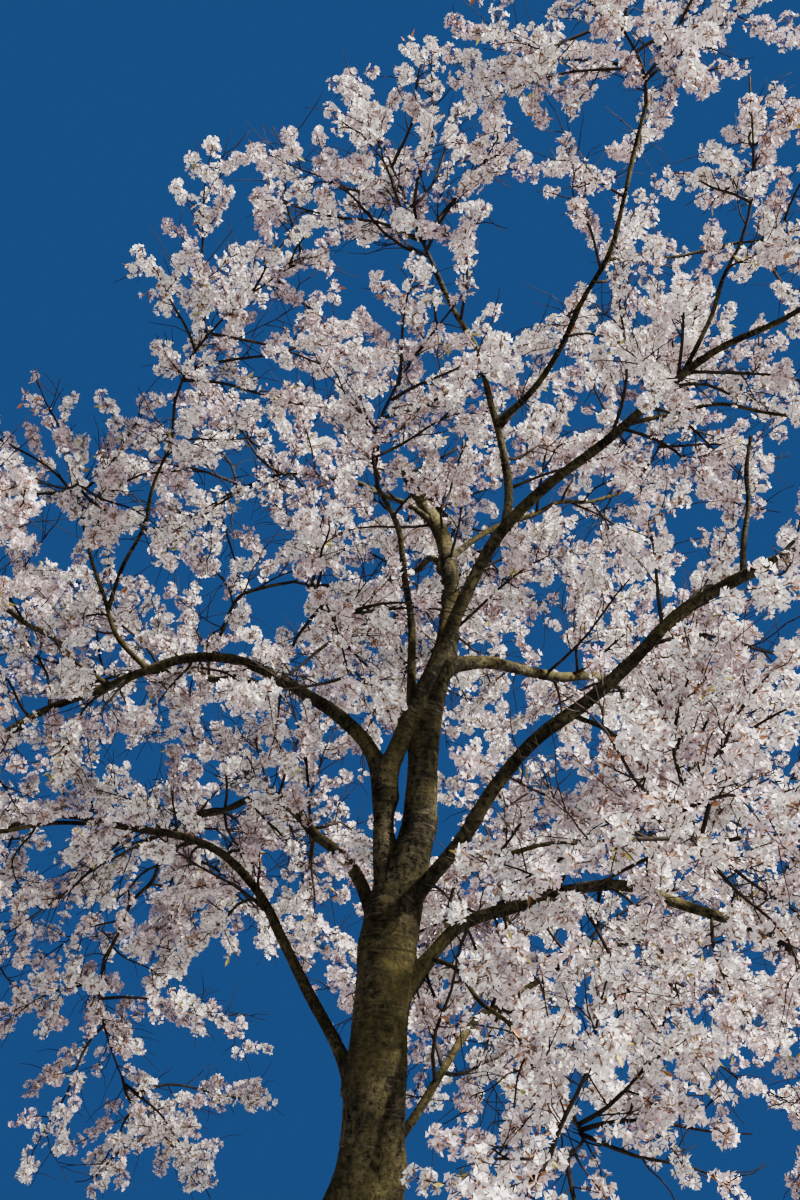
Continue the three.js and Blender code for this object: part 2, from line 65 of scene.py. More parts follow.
# The trunk and boughs, by the same rule as the solids, in metres and degrees
Limb = namedtuple("Limb", "name source at heading swing rise arch length base tip")
LIMBS = [Limb(*row) for row in (
    ("trunk", None, 0, 0, 0, 89, -4, 3.42, 0.222, 0.143),
    ("leader", "trunk", 0.94, -12, 161, 82, -18, 4.46, 0.112, 0.045),
    ("right_rising", "trunk", 0.99, -33, -8, 95, -100, 4.9, 0.064, 0.018),
    ("right_front", "trunk", 0.97, -46, 2, 44, -36, 3.35, 0.045, 0.031),
    ("right_low", "trunk", 0.82, 13, -12, 60, -90, 2.6, 0.040, 0.032),
    ("left_low", "trunk", 0.5, 138, 13, 83, -88, 5.1, 0.040, 0.018),
    ("back_low", "trunk", 0.78, 62, 10, 55, -62, 3.4, 0.045, 0.022),
    ("back_left", "trunk", 0.9, 118, 8, 60, -60, 3.9, 0.045, 0.022),
    ("left_mid", "right_rising", 0.16, 144, 32, 73, -126, 4.15, 0.048, 0.024),
    ("left_front", "left_mid", 0.7, -118, 14, 12, -26, 1.9, 0.020, 0.013),
    ("right_back", "leader", 0.45, 29, 32, 13, -1, 3.08, 0.046, 0.024),
    ("back_up", "leader", 0.66, 95, 10, 48, -40, 2.4, 0.034, 0.018),
    ("leader_right", "leader", 0.7, 25, 0, 45, -25, 2.0, 0.024, 0.014),
    ("leader_left", "leader", 0.8, 165, -20, 45, -20, 1.5, 0.024, 0.014),
    ("thin_front", "right_rising", 0.28, -86, -42, 104, -60, 1.68, 0.031, 0.016),
    ("centre_up", "right_rising", 0.56, -127, -9, 96, -55, 2.1, 0.030, 0.016),
    ("top_right", "centre_up", 0.4, -40, -33, 28, 34, 2.4, 0.022, 0.014),
    ("top_right_side", "top_right", 0.55, 20, -30, 19, -12, 1.0, 0.013, 0.009),
    ("right_level_top", "right_rising", 0.77, -8, -2, 17, -45, 1.2, 0.015, 0.010),
    ("right_tip_up", "right_rising", 0.86, -45, -17, 54, -8, 0.9, 0.016, 0.011),
    ("right_droop", "right_front", 0.52, -5, -21, -33, -42, 1.0, 0.013, 0.010),
    ("right_level", "right_front", 0.19, 15, -8, 5, 10, 1.2, 0.017, 0.011),
    ("right_stub_up", "right_front", 0.89, -60, 0, 76, -2, 0.8, 0.015, 0.011),
    ("right_low_droop", "right_low", 0.18, -63, 19, -28, -28, 1.5, 0.014, 0.010),
    ("left_up_outer", "left_mid", 0.62, -162, 0, 47, 34, 1.4, 0.020, 0.013),
    ("left_up_inner", "left_up_outer", 0.42, -48, -24, 48, -8, 1.7, 0.016, 0.011),
    ("left_up_front", "left_mid", 0.5, -74, 42, 33, -53, 1.2, 0.014, 0.010),
    ("left_back", "left_mid", 0.33, 131, 10, 22, 3, 1.59, 0.036, 0.022),
    ("left_low_back", "left_low", 0.6, 118, 6, 8, -48, 1.9, 0.019, 0.012),
    ("left_low_side", "left_low", 0.72, -155, 10, 4, -42, 1.5, 0.018, 0.012),
    ("right_lowest", "trunk", 0.59, 34, 18, 55, -47, 3.4, 0.026, 0.014),
)]

# The masses of blossom: bough, then the middle ahead of, beside and over its tip, half sizes, twigs
Mass = namedtuple("Mass", "bough ahead side lift half twigs")
MASSES = [Mass(*row) for row in (
    ("leader", 0.3, -0.6, -0.45, (1.25, 1.25, 1.2), 7),
    ("right_rising", 1.05, 0, 0.4, (1.3, 1.2, 1.1), 7),
    ("right_front", 0.75, 0.6, -0.25, (1.25, 1.2, 1.1), 7),
    ("right_low", 0.6, 0.1, -0.45, (1.25, 1.2, 1.0), 7),
    ("left_low", 0.7, -0.15, 0.05, (1.25, 1.25, 1.1), 7),
    ("back_low", 0.25, 0.6, 0, (1.3, 1.3, 1.15), 7),
    ("back_left", 0.75, -0.6, -0.3, (1.3, 1.3, 1.2), 7),
    ("left_mid", 0.8, -0.25, -0.05, (1.2, 1.2, 1.1), 7),
    ("left_front", 0.65, 0.1, -0.35, (1.1, 1.1, 1.05), 6),
    ("right_back", 0.9, 0.15, 0.5, (1.3, 1.25, 1.2), 7),
    ("back_up", 0.9, -0.3, -0.45, (1.25, 1.25, 1.2), 7),
    ("leader_right", 0.25, -0.55, 0.55, (1.05, 1.1, 1.0), 6),
    ("leader_left", 0.95, -0.15, -0.45, (1.1, 1.05, 1.1), 6),
    ("thin_front", 0.25, 0.6, 0.35, (0.95, 0.9, 0.9), 5),
    ("centre_up", 0.4, 0.05, -0.1, (1.15, 1.1, 1.1), 7),
    ("top_right", 0.5, -0.5, -0.45, (1.2, 1.1, 1.05), 7),
    ("top_right_side", 0.5, -0.1, -0.45, (1.05, 0.95, 0.95), 6),
    ("right_level_top", 0.7, -0.15, 0.55, (1.0, 0.95, 0.8), 5),
    ("right_tip_up", 0.25, -0.1, 0.25, (0.85, 0.85, 0.8), 5),
    ("right_droop", 0.25, -0.6, 0.15, (0.95, 0.9, 0.85), 6),
    ("right_level", 0.5, 0, 0.4, (1.0, 1.0, 0.75), 6),
    ("right_low_droop", 0.25, -0.6, 0.05, (0.95, 0.95, 0.8), 5),
    ("left_up_outer", 0.25, 0.5, -0.45, (1.0, 0.95, 0.95), 6),
    ("left_up_inner", 0.45, 0.6, 0.4, (0.9, 1.0, 1.35), 7),
    ("left_up_front", 0.25, -0.05, -0.45, (0.95, 0.9, 0.85), 6),
    ("left_back", 0.55, 0, 0, (1.15, 1.15, 1.05), 6),
    ("left_low_back", 0.5, -0.5, -0.45, (1.15, 1.15, 0.95), 6),
    ("left_low_side", 0.45, 0.05, -0.25, (1.15, 1.1, 0.95), 6),
    ("right_lowest", 0.45, 0.2, -0.45, (1.2, 1.2, 1.0), 5),
)]

# The photo's view: eye height, metres from the trunk, and looking up
EYE_PLACE = (0.24, -7.0, 1.55)
LOOK_UP = 30
LENS = 35
FILM_LONG_SIDE = 36
VIEW_DEPTH = 200
STRAIGHT_AHEAD = 90

# The way up, degrees from each twig to the next, radians just past a full turn, and guards for dividing
UP = np.array((0.0, 0.0, 1.0))
GOLDEN_ANGLE = 137.5
ANY_SPIN = 6.3
TINY = 1e-9
NEARLY_ZERO = 1e-6
TOO_SHORT_SIDE = 0.1

# How limbs bend and swell
STEP_LENGTH = 0.42
FEWEST_STEPS = 4
MOST_STEPS = 11
TRUNK_STEPS = 12
CROOK_ANGLE = 8
CROOK_WAVES = 2.5
CROOK_PHASE_STEP = 2.4
COLLAR_SWELL = 0.35
COLLAR_SHARE = 0.07
FLARE_RADIUS = 0.13
FLARE_HEIGHT = 0.22
FLARE_LOBES = 5
FLARE_LOBE_DEPTH = 0.13
FLARE_LOBE_HEIGHT = 0.33
Burl = namedtuple("Burl", "height heading bulge spread reach")
BURLS = [Burl(2.03, -20, 0.038, 30, 0.15), Burl(1.75, 185, 0.085, 45, 0.24)]

# How the main twigs branch inside a mass, by the same rule as the solids
RANDOM_FACTOR = 1664525
RANDOM_STEP = 1013904223
RANDOM_SPAN = 4294967296
MASS_SEED = 1000
MASS_SEED_STEP = 77
DRAWS_PER_SPRAY = 3
SPRAYS_PER_TWIG = 2
SPACE_FULLNESS = 1.1
SPACE_MARGIN = 0.022
LIMB_MARGIN = 0.015
STEM_LEAD = 0.55
STEM_REACH = 0.62
STEM_SINK = 0.03
STEM_TIP_RADIUS = 0.006
STEM_POINTS = 4
STEM_STEPS = 10
TWIG_RADIUS = 0.011
TWIG_FIRST = 0.14
TWIG_LAST = 0.93
TWIG_LEAN = (50, 76)
TWIG_TURN_SPREAD = 30
TWIG_LONGEST = 1.5
TWIG_SHORTEST = 0.26
MARCH_STEP = 0.05
TANGENT_SPAN = 0.1

# The further twigs: where along its line each kind sits, turn and lean in degrees, length and bow
Kind = namedtuple("Kind", "along turn lean length bow")
EXTRA_TWIG = Kind((TWIG_FIRST * 0.6, 1.0), (-25, 25), (30, 82), None, 0.03)
EXTRA_TURN = 70
SHOOT = Kind((0.3, 1.0), (-30, 30), (32, 68), (0.2, 0.5), (-0.04, 0.06))
SIDE_TWIG = Kind((0.2, 0.9), (-35, 35), (42, 85), (0.55, 1.35), 0.05)
FINE_TWIG = Kind((0.05, 0.9), None, (28, 62), (0.14, 0.42), 0.05)
WAVER = (0.07, 0.04, 0.022)
ARM_THICKNESS = (0.8, 1.25)
ARM_TIP_RADIUS = 0.0036
ARM_STEPS = 8
SHOOTS_FIRST = 0.12
SHOOT_LIFT = (-0.15, 0.25)
SHOOT_LENGTH_ALONG = (1.15, 0.7)
SHOOT_SHRINKS = (1.0, 0.7, 0.45)
SHOOT_RADII = np.linspace(0.0058, 0.0028, 6)
SHOOT_CLEAR_START = 0.03
FINE_TWIG_SPACING = 0.25
FINE_TWIG_RADII = np.linspace(0.0042, 0.0018, 4)
FINE_TWIG_CLEAR_START = 0.25
FINE_TWIG_SEED = 57
TUBE_SIDES = (5, 5, 3, 3)

# Twigs that leave the boughs themselves, past the share of each bough that is bare
BARE_SHARE = {
    "leader": 0.5, "right_rising": 0.72, "right_front": 0.7, "right_low": 0.5, "left_low": 0.4,
    "back_low": 0.35, "back_left": 0.35, "left_mid": 0.35, "right_back": 0.3, "back_up": 0.25,
    "leader_right": 0.45, "right_level_top": 0.5, "right_low_droop": 0.6, "thin_front": 0.6,
}
SHORT_BOUGH_BARE = 0.15
SHORT_BOUGH = 2.5
BOUGH_LINE_STEPS = 30
SIDE_TWIG_SPAN = 0.05
SIDE_TWIG_SHRINKS = (1.0, 0.6)
SIDE_TWIG_THICKEST = 0.013
SIDE_TWIG_THICKNESS = 0.65
SIDE_TWIG_TIP_RADIUS = 0.004
SIDE_TWIG_SINK = 0.5
SIDE_TWIG_CLEAR_START = 0.035
BOUGH_SWELL = 1.25
LOWEST_TWIG = 1.75
CROWN_EDGE = 0.12
CROWD_CELL = 0.3
CROWD_SAMPLE = 0.1
CROWD_FIRST = 0.25
CROWD_LOOK = 0.75
GROWTH_SEED = 41

# How far up each limb the photo shows it with nothing in front of it
IN_SIGHT = {
    "trunk": 1.0, "leader": 0.8, "right_rising": 0.75, "right_front": 0.85, "right_low": 0.7,
    "left_low": 0.75, "left_mid": 0.7, "right_stub_up": 1.0, "left_up_outer": 0.7,
    "left_up_inner": 0.7, "top_right": 0.7, "centre_up": 0.6, "right_back": 0.5, "thin_front": 0.6,
}
TRUNK_IN_SIGHT = {"trunk": 1.0}
SIGHT_STEP = 0.06
SIGHT_MARGIN = 0.04

# One flower, for a radius of 1, and the metres of its centre
PETALS = 5
PETAL_REACH = 0.94
PETAL_HALF_WIDTH = 0.5
PETAL_FOOT = 0.06
PETAL_UNDER_CUP = 0.2
PETAL_OVER_CUP = 0.56
CENTRE_RADIUS = 0.0066
CENTRE_RISE = 0.0035

# Umbels: flowers on stalks that spread from one spur
UMBEL_KINDS = 28
UMBEL_FLOWERS = (4, 8)
UMBEL_RADIUS = 0.042
UMBEL_SPREAD = 1.3
STALK_SCATTER = 0.18
STALK_LENGTHS = (0.8, 1.2)
FLOWER_NOD = 0.42
FLOWER_SCALES = (0.85, 1.1)
UMBEL_SCALES = (0.88, 1.14)
UMBEL_KIND_SEED = 7
UMBEL_TURN_SEED = 23

# Where umbels sit along stems, twigs and shoots, how full a shoot is, and its tint
UMBELS_FIRST = (0.6, 0.5, 0.3)
UMBELS_LAST = 0.99
UMBEL_SPARSENESS = (1.2, 1.05, 0.72)
SHOOT_FULLNESS = (1.6, 1.0, 0.35, 0.0)
SHOOT_FULLNESS_SHARE = (0.42, 0.26, 0.12, 0.2)
# Shares of white petals, blush petals that are partly painted shade, and painted-shade petals
TINT_SHARE = (0.5, 0.32, 0.18)
UMBEL_JITTER = 0.014
UMBEL_LIMB_CLEARANCE = 0.045
UMBEL_PLACE_SEED = 19
MOST_TRIANGLES = 190000

# Buds and young leaves, in metres, and a leaf's outline as shares of its width and length
BUD_LENGTH = 0.0095
BUD_WIDTH = 0.0052
BUD_OFF = 0.05
BUDS_EACH = 3
LEAF_OUTLINE = ((0, 0, 0), (-0.5, 0.1, 0.45), (0, 0, 0.5), (0.5, 0.1, 0.45), (0, 0.06, 1))
LEAF_LENGTH = 0.06
LEAF_WIDTH = 0.022
LEAF_OFF = 0.035
LEAVES_EACH = 4
BRONZE_SHARE = 0.5
SMALL_SCALES = (0.7, 1.2)
SMALL_SEED = 31

# The skin of the trunk and main boughs, and the bars of the side boughs
THICK_BOUGH_RADIUS = 0.038
TRUNK_SINK = 0.12
BETWEEN_LOBES = 90.0
SKIN_STEPS = 40
SKIN_SIDES = 28
SKIN_PULLS = 3
MOST_PULL = 0.03
FORK_BLEND = 0.03
SIDE_BOUGH_STEP = 0.035
SIDE_BOUGH_SIDES = 12
SIDE_BOUGH_BLEND = 0.01
FIELD_STEP = 0.11
FEWEST_FIELD_STEPS = 6
LIMB_SPACING = 10.0
SLICE = 4000

# The bark's relief: how fast each form changes across and along a limb, and its height
SWELLING_STRETCH = (5, 5, 3.2)
BAND_STRETCH = (4, 4, 30)
PLATE_STRETCH = (24, 24, 16)
LUMP_STRETCH = (3.5, 3.5, 1.9)
SWELLING_RISE = 1.8
BAND_RISE = 1.8
PLATE_SINK = 0.8
LUMP_RISE = 0.015
FULL_RELIEF_GIRTH = 0.2
LEAST_RELIEF = 0.25
LEAST_LUMP = 0.1
SIDE_BOUGH_RELIEF = 0.3

# Knots where limbs were shed, and plain hollows where the rise is negative
Knot = namedtuple("Knot", "limb along turn radius rise")
KNOTS = [Knot(*row) for row in (
    ("trunk", 2.72, -78, 0.05, 0.014),
    ("trunk", 1.32, -118, 0.06, 0.018),
    ("trunk", 2.3, -35, 0.036, 0.012),
    ("trunk", 0.85, -62, 0.055, 0.016),
    ("trunk", 1.75, 112, 0.06, 0.016),
    ("trunk", 2.45, 165, 0.045, 0.014),
    ("trunk", 0.7, 60, 0.05, 0.014),
    ("trunk", 3.12, -64, 0.085, -0.03),
    ("trunk", 2.02, -82, 0.075, -0.04),
    ("leader", 0.8, -70, 0.045, 0.014),
    ("leader", 1.5, 120, 0.035, 0.01),
    ("right_rising", 1.3, -100, 0.034, 0.01),
    ("right_rising", 2.5, 60, 0.028, 0.008),
    ("right_front", 1.25, -60, 0.03, 0.01),
    ("right_front", 0.9, 140, 0.03, 0.009),
    ("left_low", 1.1, -90, 0.022, 0.007),
    ("back_left", 1.0, 40, 0.026, 0.008),
)]
KNOT_REACH = 3
KNOT_RING = 0.34
KNOT_MIDDLE = 0.62
KNOT_SINK = 0.8

# The noises of the bark's colour and bump, and the range over which each sets in
Noise = namedtuple("Noise", "stretch scale detail range")
# Partly painted shade: large blotches of near-black bark stand for dappled shade on the trunk as well as the
# bark's own mottling
BLOTCHES_AND_PAINTED_DAPPLE = Noise((1, 1, 0.7), 3.8, 6, (0.43, 0.68))
PLATES = Noise((1, 1, 0.8), 34, 8, (0.4, 0.56))
BANDS = Noise((0.2, 0.2, 1), 62, 5, (0.5, 0.64))
BAND_GAPS = Noise((1, 1, 1), 13, 2, (0.36, 0.56))
TWIG_MOTTLE = Noise((1, 1, 1), 30, 3, (0.35, 0.65))
MOSS_PATCHES = Noise((1, 1, 0.6), 3.1, 5, None)
SPECKS = Noise((1, 1, 1), 42, 3, None)
NOISE_ROUGHNESS = 0.6
MOSS_AND_PAINTED_LIGHT_RANGE = (0.66, 0.96)
# Painted shade: a near-black colour laid in the bark's cracks, the same places the bump sinks
CRACK_PAINTED_SHADE = (0.003, 0.0025, 0.0015)
BAND_STRENGTH = 0.5
CRACK_DEPTH = 0.6
MOSS_AND_PAINTED_LIGHT_STRENGTH = 0.7
MOSS_SPECKS = 0.45
# Painted light: extra moss colour on faces turned up (moss and painted light) and to the right towards the
# sun (painted light)
MOSS_AND_PAINTED_LIGHT_UPWARD = 0.16
PAINTED_LIGHT_RIGHTWARD = 0.07
BUMP_STRENGTH = 1.0
BUMP_DEPTH = 0.011
BUMP_SPECKS = 0.5
BARK_ROUGHNESS = 0.78
BARK_ROUGHNESS_SPREAD = 0.16
BARK_SHINE = 0.08
TWIG_ROUGHNESS = 0.8
PETAL_ROUGHNESS = 0.55
PETAL_SHINE = 0.3
PETAL_TRANSLUCENCE = 0.1
SMALL_ROUGHNESS = 0.6
FLOOR_ROUGHNESS = 0.9

# The mix node's places for colours
MIX_SHARE = 0
MIX_FIRST = 6
MIX_SECOND = 7
MIX_RESULT = 2

# The stage
FLOOR_SIZE = 90
FLOOR_DROP = -0.002
SUN_TURN = (53, 0, 60)
SUN_STRENGTH = 34
SUN_SPREAD = 4
SUN_COLOUR = (1.0, 0.94, 0.86)
LIGHT_AROUND = 0.26


def sizes():
    return bpy.context.scene.cherry_sizes


def colours():
    return bpy.context.scene.cherry_colours


# Lines and directions


def unit(vector):
    length = np.linalg.norm(vector, axis=-1, keepdims=True)
    return vector / np.maximum(length, TINY)


def lerp(a, b, share):
    return a + (b - a) * share


def towards(heading, rise):
    turn = math.radians(heading)
    climb = math.radians(rise)
    level = math.cos(climb)
    return np.array((level * math.cos(turn), level * math.sin(turn), math.sin(climb)))


def turned(vector, axis, angle):
    """A vector turned round a unit axis"""
    along = axis * np.dot(axis, vector)
    across = np.cross(axis, vector)
    return along + (vector - along) * math.cos(angle) + across * math.sin(angle)


def side_of(along, turn):
    """A direction square to a line, at a turn round it"""
    side = np.cross(UP, along)
    if np.linalg.norm(side) < TOO_SHORT_SIDE:
        side = np.array((1.0, 0.0, 0.0))
    return turned(unit(side), along, turn)


def line_length(line):
    return np.linalg.norm(np.diff(line, axis=0), axis=1).sum()


def point_along(points, share):
    place = min(max(share, 0.0), 1.0) * (len(points) - 1)
    i = min(int(place), len(points) - 2)
    return lerp(points[i], points[i + 1], place - i)


def branch_off(line, share, turn, lean, span=TANGENT_SPAN):
    """Where a twig leaves a line, and its direction, leaning off the line at a turn round it"""
    onward = unit(point_along(line, share + span) - point_along(line, share - span))
    direction = onward * math.cos(lean) + side_of(onward, turn) * math.sin(lean)
    return point_along(line, share), direction


def smoothed(points, steps):
    """A curve through every point, as an array of steps + 1 points"""
    padded = np.vstack((2 * points[0] - points[1], points, 2 * points[-1] - points[-2]))
    place = np.linspace(0, len(points) - 1, steps + 1)
    i = np.minimum(place.astype(int), len(points) - 2)
    t = (place - i)[:, None]
    a, b, c, d = (padded[i + k] for k in range(4))
    return 0.5 * (2 * b + (c - a) * t + (2 * a - 5 * b + 4 * c - d) * t ** 2
                  + (3 * b - a - 3 * c + d) * t ** 3)


# Limbs, and the room round them


def limb_line(root, limb, index):
    steps = TRUNK_STEPS
    crook = 0
    if limb.source:
        steps = min(max(int(limb.length / STEP_LENGTH + 0.5) + 1, FEWEST_STEPS), MOST_STEPS)
        crook = CROOK_ANGLE
    points = [root]
    for i in range(steps):
        share = (i + 0.5) / steps
        wave = 2 * math.pi * CROOK_WAVES * share + index * CROOK_PHASE_STEP
        heading = limb.heading + limb.swing * share + crook * math.sin(wave)
        rise = limb.rise + limb.arch * share + crook * math.cos(wave)
        points.append(points[-1] + towards(heading, rise) * (limb.length / steps))
    return np.array(points)


def limb_radii(limb, steps):
    share = np.linspace(0, 1, steps + 1)
    swell = 1 + COLLAR_SWELL * np.exp(-share / COLLAR_SHARE) if limb.source else 1
    return lerp(limb.base, limb.tip, share) * swell


def trunk_radius(height, heading, straight):
    """The trunk's radius with its lobed root flare and its burls"""
    lobe = np.cos(np.radians(heading * FLARE_LOBES))
    lobed = 1 + FLARE_LOBE_DEPTH * np.exp(-height / FLARE_LOBE_HEIGHT) * lobe
    flare = FLARE_RADIUS * np.exp(-height / FLARE_HEIGHT)
    radius = (straight + flare) * lobed
    for burl in BURLS:
        off = (heading - burl.heading + 180) % 360 - 180
        level = (height - burl.height) / burl.reach
        radius = radius + burl.bulge * np.exp(-(off / burl.spread) ** 2 - level ** 2)
    return radius


def is_thick(limb):
    return not limb.source or limb.base >= THICK_BOUGH_RADIUS


def limb_node(limb):
    return "bough_" + limb.name if limb.source else limb.name


def mass_nodes(group):
    return ["blossom_" + MASSES[k].bough for k in group]


@functools.lru_cache(maxsize=None)
def limb_lines():
    """Each limb's coarse line, as the solids have it"""
    lines = {}
    for index, limb in enumerate(LIMBS):
        root = point_along(lines[limb.source], limb.at) if limb.source else np.zeros(3)
        lines[limb.name] = limb_line(root, limb, index)
    return lines


def limb_shape(limb, steps):
    """A limb's line, smooth and with more points, and its radii"""
    return smoothed(limb_lines()[limb.name], steps), limb_radii(limb, steps)


class Obstacles:
    """Every stretch of every limb, for testing what would touch one"""

    def __init__(self):
        starts, ends, radii = [], [], []
        for limb in LIMBS:
            line = limb_lines()[limb.name]
            thick = limb_radii(limb, len(line) - 1)
            starts.append(line[:-1])
            ends.append(line[1:])
            radii.append(np.maximum(thick[:-1], thick[1:]))
        self.start = np.vstack(starts)
        self.run = np.vstack(ends) - self.start
        self.radius = np.concatenate(radii)
        self.run_squared = (self.run ** 2).sum(1)

    def clear(self, a, b, radius):
        """True if the stretch from a to b stays clear of every limb"""
        u = b - a
        w = a - self.start
        uu = max(u @ u, TINY)
        uv = self.run @ u
        uw = w @ u
        vw = (self.run * w).sum(1)
        det = uu * self.run_squared - uv * uv
        s = (uv * vw - self.run_squared * uw) / np.maximum(det, NEARLY_ZERO)
        s = np.clip(np.where(det > NEARLY_ZERO, s, 0), 0, 1)
        t = np.clip((uv * s + vw) / self.run_squared, 0, 1)
        s = np.clip((uv * t - uw) / uu, 0, 1)
        gap = np.linalg.norm(w + u * s[:, None] - self.run * t[:, None], axis=1)
        return bool((gap >= self.radius + radius + LIMB_MARGIN).all())

    def clear_points(self, points, radius):
        """Which of many points are clear of every limb"""
        clear = np.ones(len(points), bool)
        for start, run, thick, squared in zip(self.start, self.run, self.radius, self.run_squared):
            off = points - start
            t = np.clip(off @ run / squared, 0, 1)
            gap = np.linalg.norm(off - t[:, None] * run, axis=1)
            clear &= gap > thick + radius
        return clear


class Spaces:
    """The egg that each mass keeps to, cut flat where it meets the neighbouring masses"""

    def __init__(self):
        limbs = {limb.name: limb for limb in LIMBS}
        self.tip, self.ahead, self.tip_radius = [], [], []
        middles, halves = [], []
        for mass in MASSES:
            line = limb_lines()[mass.bough]
            ahead = unit(line[-1] - line[-2])
            beside = unit(np.array((-ahead[1], ahead[0], 0.0)))
            middles.append(line[-1] + ahead * mass.ahead + beside * mass.side + UP * mass.lift)
            halves.append(np.array(mass.half) * SPACE_FULLNESS)
            self.tip.append(line[-1])
            self.ahead.append(ahead)
            self.tip_radius.append(limbs[mass.bough].tip)
        self.middle = np.array(middles)
        self.half = np.array(halves)
        self.reach = self.half.mean(1)

    def inside(self, points, k):
        points = np.atleast_2d(points)
        within = (((points - self.middle[k]) / self.half[k]) ** 2).sum(1) <= 1
        power = ((points[:, None] - self.middle) ** 2).sum(2) - self.reach ** 2
        apart = 2 * np.linalg.norm(self.middle - self.middle[k], axis=1)
        nearer = power[:, k:k + 1] + SPACE_MARGIN * apart < power
        nearer[:, k] = True
        return within & nearer.all(1)


@functools.lru_cache(maxsize=None)
def obstacles():
    return Obstacles()


@functools.lru_cache(maxsize=None)
def spaces():
    return Spaces()


def keeps_to_mass(tip, mass):
    return spaces().inside(tip, mass)[0]


def in_crown(tip, _):
    """Whether a twig's tip stays in the solids' own reach, above head height"""
    low, high = (np.array(corner) for corner in CAD_BOX)
    return tip[2] > LOWEST_TWIG and (tip > low + CROWN_EDGE).all() and (tip < high - CROWN_EDGE).all()


def hides_limb(places, in_sight, margin):
    """Which places stand between the eye and a limb that the photo shows bare"""
    eye = np.array(EYE_PLACE)
    way = unit(places - eye)
    distance = np.linalg.norm(places - eye, axis=1)
    hiding = np.zeros(len(places), bool)
    for limb in LIMBS:
        if limb.name not in in_sight:
            continue
        steps = int(limb.length / SIGHT_STEP)
        line, radii = limb_shape(limb, steps)
        for i in range(int(steps * in_sight[limb.name]) + 1):
            off = line[i] - eye
            reach = way @ off
            gap = np.linalg.norm(off - way * reach[:, None], axis=1)
            hiding |= (gap < radii[i] + margin) & (distance < reach)
    return hiding


# Twigs: level 0 is a mass's stem, 1 a twig, 2 a shoot and 3 a bare fine twig
Twig = namedtuple("Twig", "line radii level mass")


def new_twig(root, tip, radii, bow, level, mass, rng):
    """A twig that bows and wavers a little on its way from root to tip"""
    run = tip - root
    length = np.linalg.norm(run)
    share = np.linspace(0, 1, len(radii))[:, None]
    side = side_of(unit(run), rng.uniform(0, 2 * math.pi))
    other = np.cross(unit(run), side)
    line = root + run * share + UP * (np.sin(math.pi * share) * bow * length)
    for waves, most in enumerate(WAVER, 1):
        wave = np.sin(waves * math.pi * share) * length
        line += side * wave * rng.uniform(-most, most) + other * wave * rng.uniform(-most, most)
    return Twig(line, radii, level, mass)


def drawn_branch(line, share, turn, kind, rng, span=TANGENT_SPAN):
    """Where a twig of a kind leaves a line, and its direction, with a drawn turn and lean"""
    turn = math.radians(turn + rng.uniform(*kind.turn))
    lean = math.radians(rng.uniform(*kind.lean))
    return branch_off(line, share, turn, lean, span)


def seeded(seed):
    """The source's own random numbers, so that both grow the same main twigs"""
    state = seed

    def draw():
        nonlocal state
        state = (state * RANDOM_FACTOR + RANDOM_STEP) % RANDOM_SPAN
        return state / RANDOM_SPAN
    return draw


def beside_trunk(twigs):
    """Every stem, and the twigs that don't cross in front of the trunk"""
    starts = np.cumsum([0] + [len(twig.line) for twig in twigs[:-1]])
    hiding = hides_limb(np.vstack([twig.line for twig in twigs]), TRUNK_IN_SIGHT, 0.0)
    hides = np.logical_or.reduceat(hiding, starts)
    return [twig for twig, hidden in zip(twigs, hides) if twig.level == 0 or not hidden]


def stem_line(k):
    """The stem leads on from the bough's tip and bends through the middle of its space"""
    space = spaces()
    ahead = space.ahead[k]
    start = space.tip[k] - ahead * STEM_SINK
    across = space.middle[k] - start
    lead = start + ahead * (np.linalg.norm(across) * STEM_LEAD)
    end = space.middle[k] + unit(across) * (space.reach[k] * STEM_REACH)
    t = np.linspace(0, 1, STEM_POINTS)[:, None]
    return (1 - t) ** 2 * start + 2 * t * (1 - t) * lead + t ** 2 * end


def arm_ends(root, direction, k):
    """A twig's root and tip, as long as its space and the limbs let it be, or None if too short"""
    tip = root
    length = MARCH_STEP
    while length <= TWIG_LONGEST + TINY:
        after = root + direction * length
        if not keeps_to_mass(after, k) or not obstacles().clear(tip, after, TWIG_RADIUS):
            break
        tip = after
        length += MARCH_STEP
    return (root, tip) if np.linalg.norm(tip - root) > TWIG_SHORTEST else None


def grow_stem_and_arms(k, rng):
    """A mass's stem and the twigs that leave it: the source's own, then further ones between them"""
    mass = MASSES[k]
    draw = seeded(MASS_SEED + k * MASS_SEED_STEP)
    stem = stem_line(k)
    radii = np.linspace(spaces().tip_radius[k], STEM_TIP_RADIUS, STEM_STEPS + 1)
    twigs = [Twig(smoothed(stem, STEM_STEPS), radii, 0, k)]
    for _ in range(DRAWS_PER_SPRAY):
        draw()
    found = []
    for i in range(mass.twigs):
        share = lerp(TWIG_FIRST, TWIG_LAST, (i + 0.5) / mass.twigs)
        turn = math.radians(i * GOLDEN_ANGLE + draw() * TWIG_TURN_SPREAD)
        lean = math.radians(lerp(*TWIG_LEAN, draw()))
        found.append(arm_ends(*branch_off(stem, share, turn, lean), k))
        if found[-1]:
            for _ in range(DRAWS_PER_SPRAY * SPRAYS_PER_TWIG):
                draw()
    for i in range(int(mass.twigs * sizes().extra_twigs)):
        share = rng.uniform(*EXTRA_TWIG.along)
        turn = i * GOLDEN_ANGLE + EXTRA_TURN
        found.append(arm_ends(*drawn_branch(stem, share, turn, EXTRA_TWIG, rng), k))
    for root, tip in filter(None, found):
        thick = lerp(*ARM_THICKNESS, min(np.linalg.norm(tip - root), 1.0))
        radii = np.linspace(TWIG_RADIUS * thick, ARM_TIP_RADIUS, ARM_STEPS + 1)
        twigs.append(new_twig(root, tip, radii, EXTRA_TWIG.bow, 1, k, rng))
    return twigs


